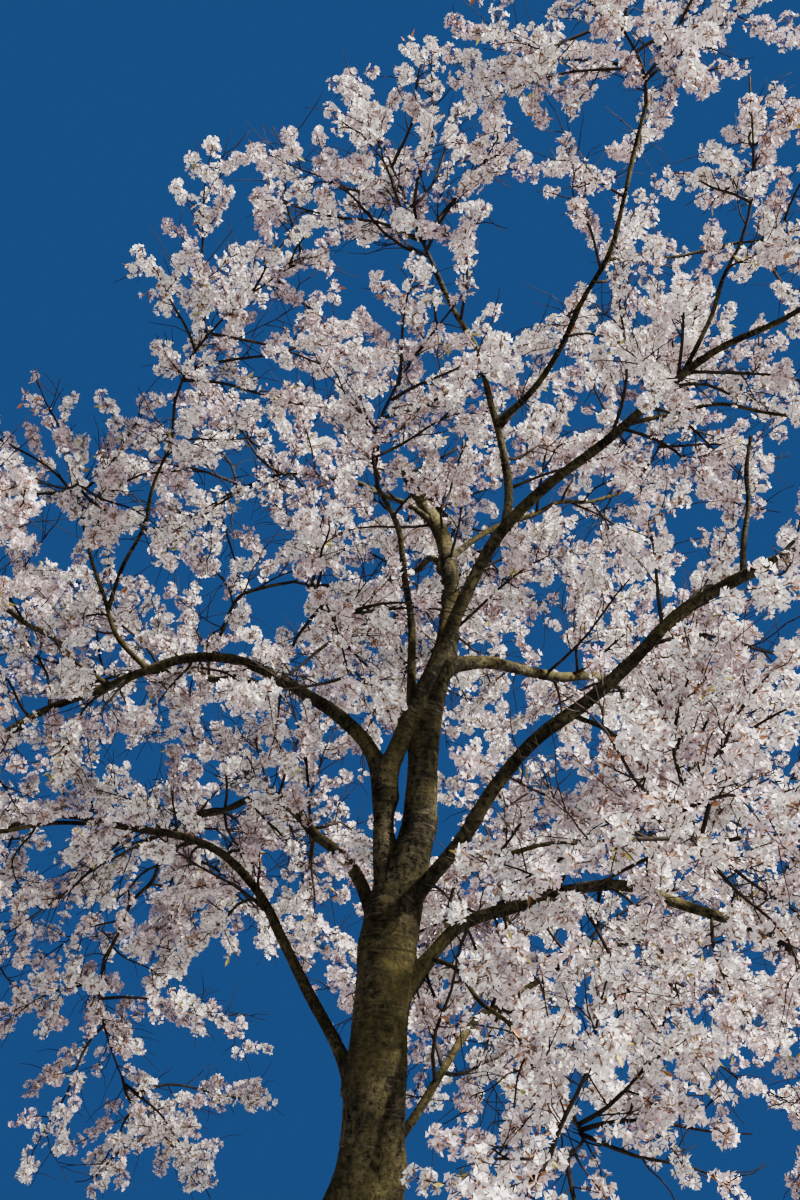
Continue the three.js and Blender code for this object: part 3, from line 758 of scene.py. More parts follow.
def grow_shoots(arms, keeps, rng):
    """The finer shoots along the arms, as far as each tip keeps to its space"""
    shoots = []
    for arm in arms:
        count = int(line_length(arm.line) / sizes().shoot_spacing)
        for i in range(count):
            share = (i + rng.uniform(*SHOOT.along)) / count
            if share < SHOOTS_FIRST:
                continue
            root, direction = drawn_branch(arm.line, share, i * GOLDEN_ANGLE, SHOOT, rng)
            direction = unit(direction + UP * rng.uniform(*SHOOT_LIFT))
            run = rng.uniform(*SHOOT.length) * lerp(*SHOOT_LENGTH_ALONG, share)
            off = root + direction * SHOOT_CLEAR_START
            for shrink in SHOOT_SHRINKS:
                tip = root + direction * run * shrink
                if keeps(tip, arm.mass) and obstacles().clear(off, tip, SHOOT_RADII[0]):
                    bow = rng.uniform(*SHOOT.bow)
                    shoots.append(new_twig(root, tip, SHOOT_RADII, bow, 2, arm.mass, rng))
                    break
    return shoots


class Crowd:
    """How much blossoming twig lies about each place"""

    def __init__(self, twigs):
        self.found = {}
        for twig in twigs:
            self.add(twig)

    def cell(self, point):
        return tuple(int(value) for value in np.floor(point / CROWD_CELL))

    def add(self, twig):
        if twig.level == 0:
            return
        length = np.linalg.norm(twig.line[-1] - twig.line[0])
        for share in np.arange(CROWD_FIRST, 1.0, CROWD_SAMPLE / max(length, CROWD_SAMPLE)):
            cell = self.cell(point_along(twig.line, share))
            self.found[cell] = self.found.get(cell, 0) + 1

    def about(self, point):
        x, y, z = self.cell(point)
        return sum(self.found.get((x + i, y + j, z + k), 0)
                   for i in (-1, 0, 1) for j in (-1, 0, 1) for k in (-1, 0, 1))


def side_twig_starts(rng):
    """Root, direction, bough's thickness, reach and mass of each twig that a bough could bear"""
    starts = []
    names = [mass.bough for mass in MASSES]
    for limb in LIMBS:
        if limb.name not in names:
            continue
        line = smoothed(limb_lines()[limb.name], BOUGH_LINE_STEPS)
        first = BARE_SHARE.get(limb.name, SHORT_BOUGH_BARE)
        count = int(limb.length * (1 - first) / sizes().side_twig_spacing)
        for i in range(count):
            share = first + (1 - first) * (i + rng.uniform(*SIDE_TWIG.along)) / count
            root, direction = drawn_branch(line, share, i * GOLDEN_ANGLE, SIDE_TWIG, rng, SIDE_TWIG_SPAN)
            reach = min(limb.length / SHORT_BOUGH, 1.0)
            thick = lerp(limb.base, limb.tip, share)
            starts.append((root, direction, thick, reach, names.index(limb.name)))
    return [starts[i] for i in rng.permutation(len(starts))]


def grow_side_twigs(crowd, rng):
    """Twigs that leave the boughs themselves where the crown still has gaps, with their shoots"""
    grown = []
    for root, direction, thick, reach, mass in side_twig_starts(rng):
        run = rng.uniform(*SIDE_TWIG.length) * reach
        off = root + direction * (thick * BOUGH_SWELL + SIDE_TWIG_CLEAR_START)
        for shrink in SIDE_TWIG_SHRINKS:
            tip = root + direction * run * shrink
            if crowd.about(lerp(root, tip, CROWD_LOOK)) > sizes().crowding:
                continue
            if not in_crown(tip, mass) or not obstacles().clear(off, tip, 0.0):
                continue
            radius = min(SIDE_TWIG_THICKEST, thick * SIDE_TWIG_THICKNESS)
            radii = np.linspace(radius, SIDE_TWIG_TIP_RADIUS, ARM_STEPS + 1)
            start = root + direction * (thick * SIDE_TWIG_SINK)
            arm = new_twig(start, tip, radii, SIDE_TWIG.bow, 1, mass, rng)
            if hides_limb(arm.line, TRUNK_IN_SIGHT, 0.0).any():
                continue
            new = [arm] + grow_shoots([arm], in_crown, rng)
            for twig in new:
                crowd.add(twig)
            grown += new
            break
    return grown


@functools.lru_cache(maxsize=None)
def all_twigs():
    rng = np.random.default_rng(GROWTH_SEED)
    twigs = []
    for k in range(len(MASSES)):
        arms = beside_trunk(grow_stem_and_arms(k, rng))
        twigs += arms + grow_shoots(arms, keeps_to_mass, rng)
    return beside_trunk(twigs + grow_side_twigs(Crowd(twigs), rng))


def fine_twigs():
    """Bare twigs, thinner than the shoots, that stand among the blossom"""
    rng = np.random.default_rng(FINE_TWIG_SEED)
    grown = []
    for twig in all_twigs():
        for _ in range(rng.poisson(line_length(twig.line) / FINE_TWIG_SPACING)):
            share = rng.uniform(*FINE_TWIG.along)
            turn = rng.uniform(0, 2 * math.pi)
            lean = math.radians(rng.uniform(*FINE_TWIG.lean))
            root, direction = branch_off(twig.line, share, turn, lean)
            tip = root + direction * rng.uniform(*FINE_TWIG.length)
            fine = new_twig(root, tip, FINE_TWIG_RADII, FINE_TWIG.bow, 3, twig.mass, rng)
            off = lerp(root, tip, FINE_TWIG_CLEAR_START)
            if in_crown(tip, twig.mass) and obstacles().clear(off, tip, 0.0):
                grown.append(fine)
    return beside_trunk(grown)


# Meshes


def add_object(name, data):
    obj = bpy.data.objects.new(name, data)
    bpy.context.scene.collection.objects.link(obj)
    return obj


def riding(obj, nodes):
    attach(obj, "root")
    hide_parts(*nodes)


def mesh_object(name, corners, triangles, material, smooth=False):
    """An object of many small shapes in one mesh"""
    mesh = bpy.data.meshes.new(name)
    mesh.vertices.add(len(corners))
    mesh.vertices.foreach_set("co", corners.astype(np.float32).ravel())
    mesh.loops.add(len(triangles) * 3)
    mesh.loops.foreach_set("vertex_index", triangles.astype(np.int32).ravel())
    mesh.polygons.add(len(triangles))
    mesh.polygons.foreach_set("loop_start", np.arange(len(triangles), dtype=np.int32) * 3)
    mesh.polygons.foreach_set("use_smooth", np.full(len(triangles), smooth))
    mesh.update(calc_edges=True)
    mesh.validate()
    mesh.materials.append(material)
    return add_object(name, mesh)


def joined(parts):
    corners, triangles, total = [], [], 0
    for part_corners, part_triangles in parts:
        corners.append(part_corners)
        triangles.append(part_triangles + total)
        total += len(part_corners)
    return np.vstack(corners), np.vstack(triangles)


def copies(corners, triangles, places, turns, scales):
    """One small shape at many places, turned and scaled"""
    moved = np.einsum("nij,vj->nvi", turns * scales[:, None, None], corners) + places[:, None]
    faces = triangles[None] + (np.arange(len(places)) * len(corners))[:, None, None]
    return moved.reshape(-1, 3), faces.reshape(-1, 3)


def random_turns(count, rng):
    """Evenly random rotations"""
    q = unit(rng.normal(size=(count, 4)))
    w, x, y, z = q.T
    return np.stack((
        np.stack((1 - 2 * (y * y + z * z), 2 * (x * y - z * w), 2 * (x * z + y * w)), 1),
        np.stack((2 * (x * y + z * w), 1 - 2 * (x * x + z * z), 2 * (y * z - x * w)), 1),
        np.stack((2 * (x * z - y * w), 2 * (y * z + x * w), 1 - 2 * (x * x + y * y)), 1),
    ), 1)


def facing(directions, spin):
    """Rotations that take +Z to each direction, spun about it"""
    z = unit(directions)
    x = np.cross(UP, z)
    x[np.linalg.norm(x, axis=1) < TOO_SHORT_SIDE] = (1.0, 0.0, 0.0)
    x = unit(x - z * (x * z).sum(1, keepdims=True))
    y = np.cross(z, x)
    c, s = np.cos(spin)[:, None], np.sin(spin)[:, None]
    return np.stack((x * c + y * s, y * c - x * s, z), 2)


def tubes(twigs, sides):
    """Closed tubes round twigs that all have the same number of points"""
    lines = np.array([twig.line for twig in twigs])
    radii = np.array([twig.radii for twig in twigs])
    count, rings = radii.shape
    run = unit(np.gradient(lines, axis=1))
    side = np.cross(unit(lines[:, -1] - lines[:, 0]), UP)
    side[np.linalg.norm(side, axis=1) < TOO_SHORT_SIDE] = (1.0, 0.0, 0.0)
    side = np.repeat(side[:, None], rings, 1)
    side = unit(side - run * (side * run).sum(2, keepdims=True))
    across = np.cross(run, side)
    turn = np.arange(sides) * (2 * math.pi / sides)
    ring = side[:, :, None] * np.cos(turn)[:, None] + across[:, :, None] * np.sin(turn)[:, None]
    corners = lines[:, :, None] + ring * radii[:, :, None, None]
    tips = lines[:, -1:] + run[:, -1:] * radii[:, -1:, None]
    corners = np.concatenate((corners.reshape(count, -1, 3), tips), axis=1)
    faces = []
    for r in range(rings - 1):
        for s in range(sides):
            a = r * sides + s
            b = r * sides + (s + 1) % sides
            faces += [(a, b, b + sides), (a, b + sides, a + sides)]
    last = (rings - 1) * sides
    faces += [(last + s, last + (s + 1) % sides, rings * sides) for s in range(sides)]
    faces += [(0, s + 1, s) for s in range(1, sides - 1)]
    per_twig = rings * sides + 1
    triangles = np.array(faces)[None] + (np.arange(count) * per_twig)[:, None, None]
    return corners.reshape(-1, 3), triangles.reshape(-1, 3)


def make_twigs():
    by_shape = {}
    for twig in all_twigs():
        by_shape.setdefault((len(twig.radii), TUBE_SIDES[twig.level]), []).append(twig)
    made = {
        "twigs": joined([tubes(twigs, sides) for (_, sides), twigs in by_shape.items()]),
        "fine_twigs": tubes(fine_twigs(), TUBE_SIDES[3]),
    }
    for name, shape in made.items():
        obj = mesh_object(name, *shape, twig_material(), smooth=True)
        riding(obj, mass_nodes(range(len(MASSES))))


# Blossom, buds and young leaves


def flower_petals():
    """Five cupped, blunt petals round +Z that lap like a pinwheel, for a flower of radius 1"""
    outline = ((PETAL_FOOT, 0, 0), (PETAL_REACH, -PETAL_HALF_WIDTH, PETAL_UNDER_CUP),
               (PETAL_REACH, PETAL_HALF_WIDTH, PETAL_OVER_CUP))
    corners = []
    for p in range(PETALS):
        turn = 2 * math.pi * p / PETALS
        c, s = math.cos(turn), math.sin(turn)
        corners += [(x * c - y * s, x * s + y * c, z) for x, y, z in outline]
    return np.array(corners), np.arange(len(corners)).reshape(-1, 3)


def flower_stalk(length):
    """A stalk and calyx that end in the flower's dark centre: a slim cone with its cap up"""
    turns = [2 * math.pi * k / 3 for k in range(3)]
    rim = [(math.cos(t) * CENTRE_RADIUS, math.sin(t) * CENTRE_RADIUS, CENTRE_RISE) for t in turns]
    corners = np.array([(0.0, 0.0, -length)] + rim)
    return corners, np.array([(0, 2, 1), (0, 3, 2), (1, 2, 3)])


def umbel(rng):
    """Petals and stalks of one umbel"""
    radius = sizes().flower_width / 2
    count = rng.integers(*UMBEL_FLOWERS)
    petal_parts, stalk_parts = [], []
    spin = rng.uniform(0, 2 * math.pi)
    for i in range(count):
        rise = 1 - UMBEL_SPREAD * (i + 0.5) / count
        level = math.sqrt(max(1 - rise * rise, 0))
        around = spin + i * math.radians(GOLDEN_ANGLE)
        out = np.array((level * math.cos(around), level * math.sin(around), rise))
        out = unit(out + rng.normal(0, STALK_SCATTER, 3))
        place = out * UMBEL_RADIUS * rng.uniform(*STALK_LENGTHS)
        look = unit(out + rng.normal(0, FLOWER_NOD, 3))
        turn = facing(look[None], rng.uniform(0, ANY_SPIN, 1))
        scale = np.array([radius * rng.uniform(*FLOWER_SCALES)])
        petal_parts.append(copies(*flower_petals(), place[None], turn, scale))
        back = facing(out[None], rng.uniform(0, ANY_SPIN, 1))
        stalk_parts.append(copies(*flower_stalk(UMBEL_RADIUS), place[None], back, np.ones(1)))
    return joined(petal_parts), joined(stalk_parts)


@functools.lru_cache(maxsize=None)
def umbel_kinds():
    rng = np.random.default_rng(UMBEL_KIND_SEED)
    return [umbel(rng) for _ in range(UMBEL_KINDS)]


Umbels = namedtuple("Umbels", "places mass tint")


@functools.lru_cache(maxsize=None)
def umbel_places():
    """Where every umbel sits, its mass and its tint, dealt out by shoot"""
    rng = np.random.default_rng(UMBEL_PLACE_SEED)
    found = []
    for twig in all_twigs():
        first = UMBELS_FIRST[twig.level]
        spacing = sizes().umbel_spacing * UMBEL_SPARSENESS[twig.level]
        fullness = rng.choice(SHOOT_FULLNESS, p=SHOOT_FULLNESS_SHARE)
        count = int(line_length(twig.line) * (1 - first) / spacing * fullness)
        tint = rng.choice(len(TINT_SHARE), p=TINT_SHARE)
        for i in range(count):
            share = min(first + (1 - first) * (i + rng.uniform(0, 1)) / count, UMBELS_LAST)
            place = point_along(twig.line, share) + rng.normal(0, UMBEL_JITTER, 3)
            found.append((place, twig.mass, tint))
        if fullness > 0:
            found.append((twig.line[-1], twig.mass, tint))
    places, masses, tints = (np.array(part) for part in zip(*found))
    keep = obstacles().clear_points(places, UMBEL_LIMB_CLEARANCE)
    keep &= ~hides_limb(places, IN_SIGHT, SIGHT_MARGIN)
    return Umbels(places[keep], masses[keep], tints[keep])


def chunks(masses, triangles_each):
    """Runs of masses whose shapes together stay under the limit for one piece"""
    groups, group, total = [], [], 0
    for k in range(len(MASSES)):
        here = int(triangles_each[masses == k].sum())
        if group and total + here > MOST_TRIANGLES:
            groups.append(group)
            group, total = [], 0
        group.append(k)
        total += here
    groups.append(group)
    return groups


def make_umbel_pieces(title, which, chosen, material):
    """Joined pieces of petals (which 0) or stalks (which 1) at the chosen umbels"""
    found = umbel_places()
    rng = np.random.default_rng(UMBEL_TURN_SEED)
    kind = rng.integers(0, UMBEL_KINDS, len(found.places))
    turns = random_turns(len(found.places), rng)
    scales = rng.uniform(*UMBEL_SCALES, len(found.places))
    shapes = [parts[which] for parts in umbel_kinds()]
    each = np.array([len(triangles) for _, triangles in shapes])
    for number, group in enumerate(chunks(found.mass[chosen], each[kind[chosen]]), 1):
        here = chosen & np.isin(found.mass, group)
        parts = []
        for k in range(UMBEL_KINDS):
            at = here & (kind == k)
            if at.any():
                parts.append(copies(*shapes[k], found.places[at], turns[at], scales[at]))
        riding(mesh_object(f"{title}_{number}", *joined(parts), material), mass_nodes(group))


def make_blossom():
    tone = colours()
    # The three petal tints: white; blush, darker in part as painted shade; and a mauve-grey that is painted
    # shade
    tints = (("petals_white", tone.petal_white), ("petals_blush_and_painted_shade", tone.petal_blush_and_painted_shade),
             ("petals_painted_shade", tone.petal_painted_shade))
    for number, (name, colour) in enumerate(tints):
        make_umbel_pieces(name, 0, umbel_places().tint == number, petal_material(name, colour))
    everywhere = np.ones(len(umbel_places().places), bool)
    stalks = plain_material("flower_stalks", tone.calyx, SMALL_ROUGHNESS)
    make_umbel_pieces("flower_stalks", 1, everywhere, stalks)


def bud_shape():
    corners = np.array([(0, 0, BUD_LENGTH), (BUD_WIDTH, 0, 0), (0, BUD_WIDTH, 0),
                        (-BUD_WIDTH, 0, 0), (0, -BUD_WIDTH, 0), (0, 0, -BUD_LENGTH)])
    triangles = np.array([(0, 1, 2), (0, 2, 3), (0, 3, 4), (0, 4, 1),
                          (5, 2, 1), (5, 3, 2), (5, 4, 3), (5, 1, 4)])
    return corners, triangles


def leaf_shape():
    """A folded young leaf, pointed at both ends"""
    corners = np.array(LEAF_OUTLINE) * (LEAF_WIDTH, LEAF_LENGTH, LEAF_LENGTH)
    return corners, np.array([(0, 2, 1), (0, 3, 2), (1, 2, 4), (2, 3, 4)])


def make_buds_and_leaves():
    tone = colours()
    places = umbel_places().places
    rng = np.random.default_rng(SMALL_SEED)
    budding = rng.random(len(places)) < sizes().bud_share
    leafy = rng.random(len(places)) < sizes().leaf_share
    bronze = rng.random(len(places)) < BRONZE_SHARE
    kinds = (
        ("pink_buds", budding, bud_shape(), BUD_OFF, tone.bud, BUDS_EACH),
        ("bronze_leaves", leafy & bronze, leaf_shape(), LEAF_OFF, tone.bronze_leaf, LEAVES_EACH),
        ("olive_leaves", leafy & ~bronze, leaf_shape(), LEAF_OFF, tone.olive_leaf, LEAVES_EACH),
    )
    for name, at, shape, off, colour, each in kinds:
        spots = np.repeat(places[at], each, 0)
        out = unit(rng.normal(size=spots.shape))
        turns = facing(out, rng.uniform(0, ANY_SPIN, len(spots)))
        shapes = copies(*shape, spots + out * off, turns, rng.uniform(*SMALL_SCALES, len(spots)))
        obj = mesh_object(name, *shapes, plain_material(name, colour, SMALL_ROUGHNESS))
        riding(obj, mass_nodes(range(len(MASSES))))


# Trunk and boughs


def frames_along(points):
    """A matrix at each point that takes +Z along the line, with no twist from one to the next"""
    run = unit(np.gradient(points, axis=0))
    side = side_of(run[0], 0.0)
    frames = []
    for place, along in zip(points, run):
        side = unit(side - along * np.dot(side, along))
        across = np.cross(along, side)
        turn = Matrix(np.stack((side, across, along), 1).tolist()).to_4x4()
        turn.translation = Vector(place.tolist())
        frames.append(turn)
    return frames


def sweep(bm, points, radii, sides):
    """A limb as a circle drawn along its line, closed at both ends"""
    rings = frames_along(points)
    ring = bmesh.ops.create_circle(bm, cap_ends=True, segments=sides, radius=1.0)["verts"]
    before = rings[0] @ Matrix.Scale(radii[0], 4)
    bmesh.ops.transform(bm, matrix=before, verts=ring)
    edges = list(dict.fromkeys(edge for vert in ring for edge in vert.link_edges))
    for turn, radius in zip(rings[1:], radii[1:]):
        grown = bmesh.ops.extrude_edge_only(bm, edges=edges)["geom"]
        ring = [item for item in grown if isinstance(item, bmesh.types.BMVert)]
        inside = set(ring)
        edges = [item for item in grown if isinstance(item, bmesh.types.BMEdge)
                 and item.verts[0] in inside and item.verts[1] in inside]
        after = turn @ Matrix.Scale(radius, 4)
        bmesh.ops.transform(bm, matrix=after @ before.inverted(), verts=ring)
        before = after
    bmesh.ops.contextual_create(bm, geom=edges)


def swept_object(name, shapes, sides):
    """Limbs, each a line and its radii, as closed bars in one mesh"""
    bm = bmesh.new()
    for line, radii in shapes:
        sweep(bm, line, radii, sides)
    bmesh.ops.recalc_face_normals(bm, faces=bm.faces)
    mesh = bpy.data.meshes.new(name)
    bm.to_mesh(mesh)
    bm.free()
    return add_object(name, mesh)


class BarkField:
    """How far points are from a smooth blend of limbs, and where on a limb they lie"""

    def __init__(self, limbs, blend):
        self.limbs = limbs
        self.blend = blend
        self.lines = []
        for limb in limbs:
            steps = max(int(limb.length / FIELD_STEP), FEWEST_FIELD_STEPS)
            self.lines.append(limb_shape(limb, steps))

    def to_limb(self, points, i):
        """Distance to a limb's skin, the way out, and the place along it and its radius there"""
        line, radii = self.lines[i]
        start = line[:-1]
        run = line[1:] - start
        off = points[:, None] - start
        free = (off * run).sum(2) / (run ** 2).sum(1)
        low = np.zeros(len(start))
        if not self.limbs[i].source:
            low[0] = -1.0
        t = np.clip(free, low, 1.0)
        away = off - run * t[..., None]
        length = np.linalg.norm(away, axis=2)
        best = length.argmin(1)
        pick = np.arange(len(points))
        t, free, away, length = (part[pick, best] for part in (t, free, away, length))
        radius = lerp(radii[best], radii[best + 1], t)
        if not self.limbs[i].source:
            heading = np.degrees(np.arctan2(away[:, 1], away[:, 0]))
            radius = trunk_radius(np.maximum(points[:, 2], 0), heading, radius)
        free = np.where(best == 0, np.minimum(free, t), np.where(best == len(start) - 1, free, t))
        along = (best + free) * (self.limbs[i].length / len(start))
        return length - radius, away / np.maximum(length, NEARLY_ZERO)[:, None], along, radius

    def blended(self, points):
        """Signed distance to the smooth blend and its slope"""
        found = [self.to_limb(points, i)[:2] for i in range(len(self.limbs))]
        gaps, ways = (np.array(part) for part in zip(*found))
        low = gaps.min(0)
        weight = np.exp(-(gaps - low) / self.blend)
        total = weight.sum(0)
        way = unit((weight[..., None] * ways).sum(0) / total[:, None])
        return low - self.blend * np.log(total), way

    def straightened(self, points):
        """Each point's place on its nearest limb, as if that limb stood straight"""
        places = np.zeros((len(points), 3))
        nearest = np.full(len(points), np.inf)
        for i, (line, _) in enumerate(self.lines):
            gap, way, along, radius = self.to_limb(points, i)
            closer = gap < nearest
            frames = frames_along(line)
            row = np.clip((along / self.limbs[i].length * (len(line) - 1)).astype(int), 0, len(line) - 1)
            side, across = (np.array([turn.col[n][:3] for turn in frames])[row] for n in (0, 1))
            place = np.stack(((way * side).sum(1) * radius, (way * across).sum(1) * radius,
                              along + i * LIMB_SPACING), 1)
            places[closer] = place[closer]
            nearest[closer] = gap[closer]
        return places


def in_slices(points, work):
    """Runs an array function over many points a slice at a time"""
    results = [work(points[i:i + SLICE]) for i in range(0, len(points), SLICE)]
    if isinstance(results[0], tuple):
        return tuple(np.concatenate(part) for part in zip(*results))
    return np.concatenate(results)


def knot_relief(places):
    """Rings with sunken middles where limbs were shed, or a plain hollow where the rise is negative"""
    heights = np.zeros(len(places))
    names = [limb.name for limb in LIMBS if is_thick(limb)]
    for knot in KNOTS:
        z = knot.along + names.index(knot.limb) * LIMB_SPACING
        near = np.abs(places[:, 2] - z) < knot.radius * KNOT_REACH
        girth = np.linalg.norm(places[near, :2], axis=1)
        turn = np.radians(knot.turn)
        middle = np.stack((girth * np.cos(turn), girth * np.sin(turn), np.full(len(girth), z)), 1)
        gap = np.linalg.norm(places[near] - middle, axis=1)
        sunken = np.exp(-(gap / (knot.radius * KNOT_MIDDLE)) ** 2)
        if knot.rise < 0:
            heights[near] += knot.rise * sunken
        else:
            ring = np.exp(-((gap - knot.radius) / (knot.radius * KNOT_RING)) ** 2)
            heights[near] += knot.rise * (ring - KNOT_SINK * sunken)
    return heights


def noise_at(places, stretch):
    return np.array([noise.noise(Vector(place)) for place in (places * stretch).tolist()])


def bark_relief(places, share):
    """Height of the bark's swellings, lenticel bands and plates at straightened places"""
    heights = noise_at(places, SWELLING_STRETCH) * SWELLING_RISE
    heights += np.abs(noise_at(places, BAND_STRETCH)) * BAND_RISE
    heights -= np.abs(noise_at(places, PLATE_STRETCH)) * PLATE_SINK
    return heights * sizes().bark_relief * share


def corners_of(mesh):
    corners = np.empty(len(mesh.vertices) * 3, np.float32)
    mesh.vertices.foreach_get("co", corners)
    return corners.reshape(-1, 3).astype(float)


def raise_bark(mesh, corners, places):
    """Moves a mesh's corners, notes where on its limb each one lies, and gives it the bark"""
    mesh.vertices.foreach_set("co", corners.astype(np.float32).ravel())
    mesh.update()
    layer = mesh.attributes.new("bark_place", "FLOAT_VECTOR", "POINT")
    layer.data.foreach_set("vector", places.astype(np.float32).ravel())
    mesh.materials.append(bark_material())


def cut_at_ground(mesh):
    """Cuts the trunk flat at ground level and closes the cut"""
    bm = bmesh.new()
    bm.from_mesh(mesh)
    geometry = list(bm.verts) + list(bm.edges) + list(bm.faces)
    cut = bmesh.ops.bisect_plane(bm, geom=geometry, plane_co=(0, 0, 0), plane_no=(0, 0, 1), clear_inner=True)
    rim = [item for item in cut["geom_cut"] if isinstance(item, bmesh.types.BMEdge)]
    bmesh.ops.holes_fill(bm, edges=rim)
    bmesh.ops.recalc_face_normals(bm, faces=bm.faces)
    bm.to_mesh(mesh)
    bm.free()


def skin_line(limb):
    """A thick limb's line and radii; the trunk's starts below the ground, where it is cut later"""
    line, radii = limb_shape(limb, SKIN_STEPS)
    if not limb.source:
        line[0] -= UP * TRUNK_SINK
        radii = trunk_radius(np.maximum(line[:, 2], 0), BETWEEN_LOBES, radii)
    return line, radii


def make_trunk_and_main_boughs():
    name = "trunk_and_main_boughs"
    thick = [limb for limb in LIMBS if is_thick(limb)]
    obj = swept_object(name, [skin_line(limb) for limb in thick], SKIN_SIDES)
    bars = obj.data
    remesh = obj.modifiers.new("skin", "REMESH")
    remesh.mode = "VOXEL"
    remesh.voxel_size = sizes().bark_voxel
    skin = bpy.data.meshes.new_from_object(obj.evaluated_get(bpy.context.evaluated_depsgraph_get()))
    obj.modifiers.clear()
    obj.data = skin
    bpy.data.meshes.remove(bars)
    skin.name = name
    field = BarkField(thick, FORK_BLEND)
    corners = corners_of(skin)
    for _ in range(SKIN_PULLS):
        gap, way = in_slices(corners, field.blended)
        corners -= way * np.clip(gap, -MOST_PULL, MOST_PULL)[:, None]
    places = in_slices(corners, field.straightened)
    _, way = in_slices(corners, field.blended)
    girth = np.linalg.norm(places[:, :2], axis=1) / FULL_RELIEF_GIRTH
    relief = bark_relief(places, np.clip(girth, LEAST_RELIEF, 1.0))
    lumps = noise_at(places, LUMP_STRETCH) * LUMP_RISE
    relief += knot_relief(places) + lumps * np.clip(girth, LEAST_LUMP, 1.0)
    raise_bark(skin, corners + way * relief[:, None], places)
    cut_at_ground(skin)
    skin.shade_smooth()
    riding(obj, [limb_node(limb) for limb in thick])


def make_side_boughs():
    thin = [limb for limb in LIMBS if not is_thick(limb)]
    shapes = [limb_shape(limb, int(limb.length / SIDE_BOUGH_STEP)) for limb in thin]
    obj = swept_object("side_boughs", shapes, SIDE_BOUGH_SIDES)
    field = BarkField(thin, SIDE_BOUGH_BLEND)
    corners = corners_of(obj.data)
    places = in_slices(corners, field.straightened)
    _, way = in_slices(corners, field.blended)
    relief = bark_relief(places, SIDE_BOUGH_RELIEF)
    raise_bark(obj.data, corners + way * relief[:, None], places)
    obj.data.shade_smooth()
    riding(obj, [limb_node(limb) for limb in thin])


# Materials


def set_input(tree, socket, value):
    """Gives an input its value, or links it to another node's output"""
    if isinstance(value, bpy.types.NodeSocket):
        tree.links.new(value, socket)
    elif socket.type == "RGBA":
        socket.default_value = (*value[:3], 1)
    else:
        socket.default_value = value


def feed(tree, node, **inputs):
    for name, value in inputs.items():
        set_input(tree, node.inputs[name.replace("_", " ")], value)
    return node


def add_node(tree, kind, **inputs):
    return feed(tree, tree.nodes.new(kind), **inputs)


def new_material(name):
    material = bpy.data.materials.new(name)
    material.use_nodes = True
    tree = material.node_tree
    return material, tree, tree.nodes["Principled BSDF"]


def mix_colours(tree, share, first, second):
    mix = tree.nodes.new("ShaderNodeMix")
    mix.data_type = "RGBA"
    for place, value in ((MIX_SHARE, share), (MIX_FIRST, first), (MIX_SECOND, second)):
        set_input(tree, mix.inputs[place], value)
    return mix.outputs[MIX_RESULT]


def ramp(tree, source, low, high):
    """0 below low and 1 above high"""
    return add_node(tree, "ShaderNodeMapRange", Value=source, From_Min=low, From_Max=high).outputs["Result"]


def math_node(tree, operation, first, second):
    made = tree.nodes.new("ShaderNodeMath")
    made.operation = operation
    for place, value in enumerate((first, second)):
        set_input(tree, made.inputs[place], value)
    return made.outputs[0]


def noise_node(tree, source, kind):
    """Noise stretched along each axis of its source, as it is or over its range"""
    mapping = add_node(tree, "ShaderNodeMapping", Vector=source, Scale=kind.stretch)
    made = add_node(tree, "ShaderNodeTexNoise", Vector=mapping.outputs["Vector"], Scale=kind.scale,
                    Detail=kind.detail, Roughness=NOISE_ROUGHNESS).outputs["Fac"]
    return ramp(tree, made, *kind.range) if kind.range else made


@functools.lru_cache(maxsize=None)
def bark_group():
    """Cherry bark: dark and olive blotches, the dark ones partly painted dappled shade, cracks darkened with
    painted shade, pale lenticel bands across the limb, and their height
    """
    group = bpy.data.node_groups.new("cherry_bark", "ShaderNodeTree")
    sockets = (("Place", "INPUT", "Vector"), ("Dark", "INPUT", "Color"), ("Light", "INPUT", "Color"),
               ("Band", "INPUT", "Color"), ("Color", "OUTPUT", "Color"), ("Height", "OUTPUT", "Float"))
    for name, in_out, kind in sockets:
        group.interface.new_socket(name, in_out=in_out, socket_type="NodeSocket" + kind)
    enter = group.nodes.new("NodeGroupInput").outputs
    leave = group.nodes.new("NodeGroupOutput")
    place = enter["Place"]
    blotch_and_painted_dapple, crack, bands, gaps = (noise_node(group, place, kind)
                                  for kind in (BLOTCHES_AND_PAINTED_DAPPLE, PLATES, BANDS, BAND_GAPS))
    band = math_node(group, "MULTIPLY", bands, gaps)
    # The near-black blotches are the bark's mottling and painted dappled shade
    base = mix_colours(group, blotch_and_painted_dapple, enter["Dark"], enter["Light"])
    # Painted shade in the cracks
    shaded = mix_colours(group, crack, CRACK_PAINTED_SHADE, base)
    colour = mix_colours(group, math_node(group, "MULTIPLY", band, BAND_STRENGTH), shaded, enter["Band"])
    height = math_node(group, "ADD", math_node(group, "MULTIPLY", crack, CRACK_DEPTH), band)
    feed(group, leave, Color=colour, Height=height)
    return group


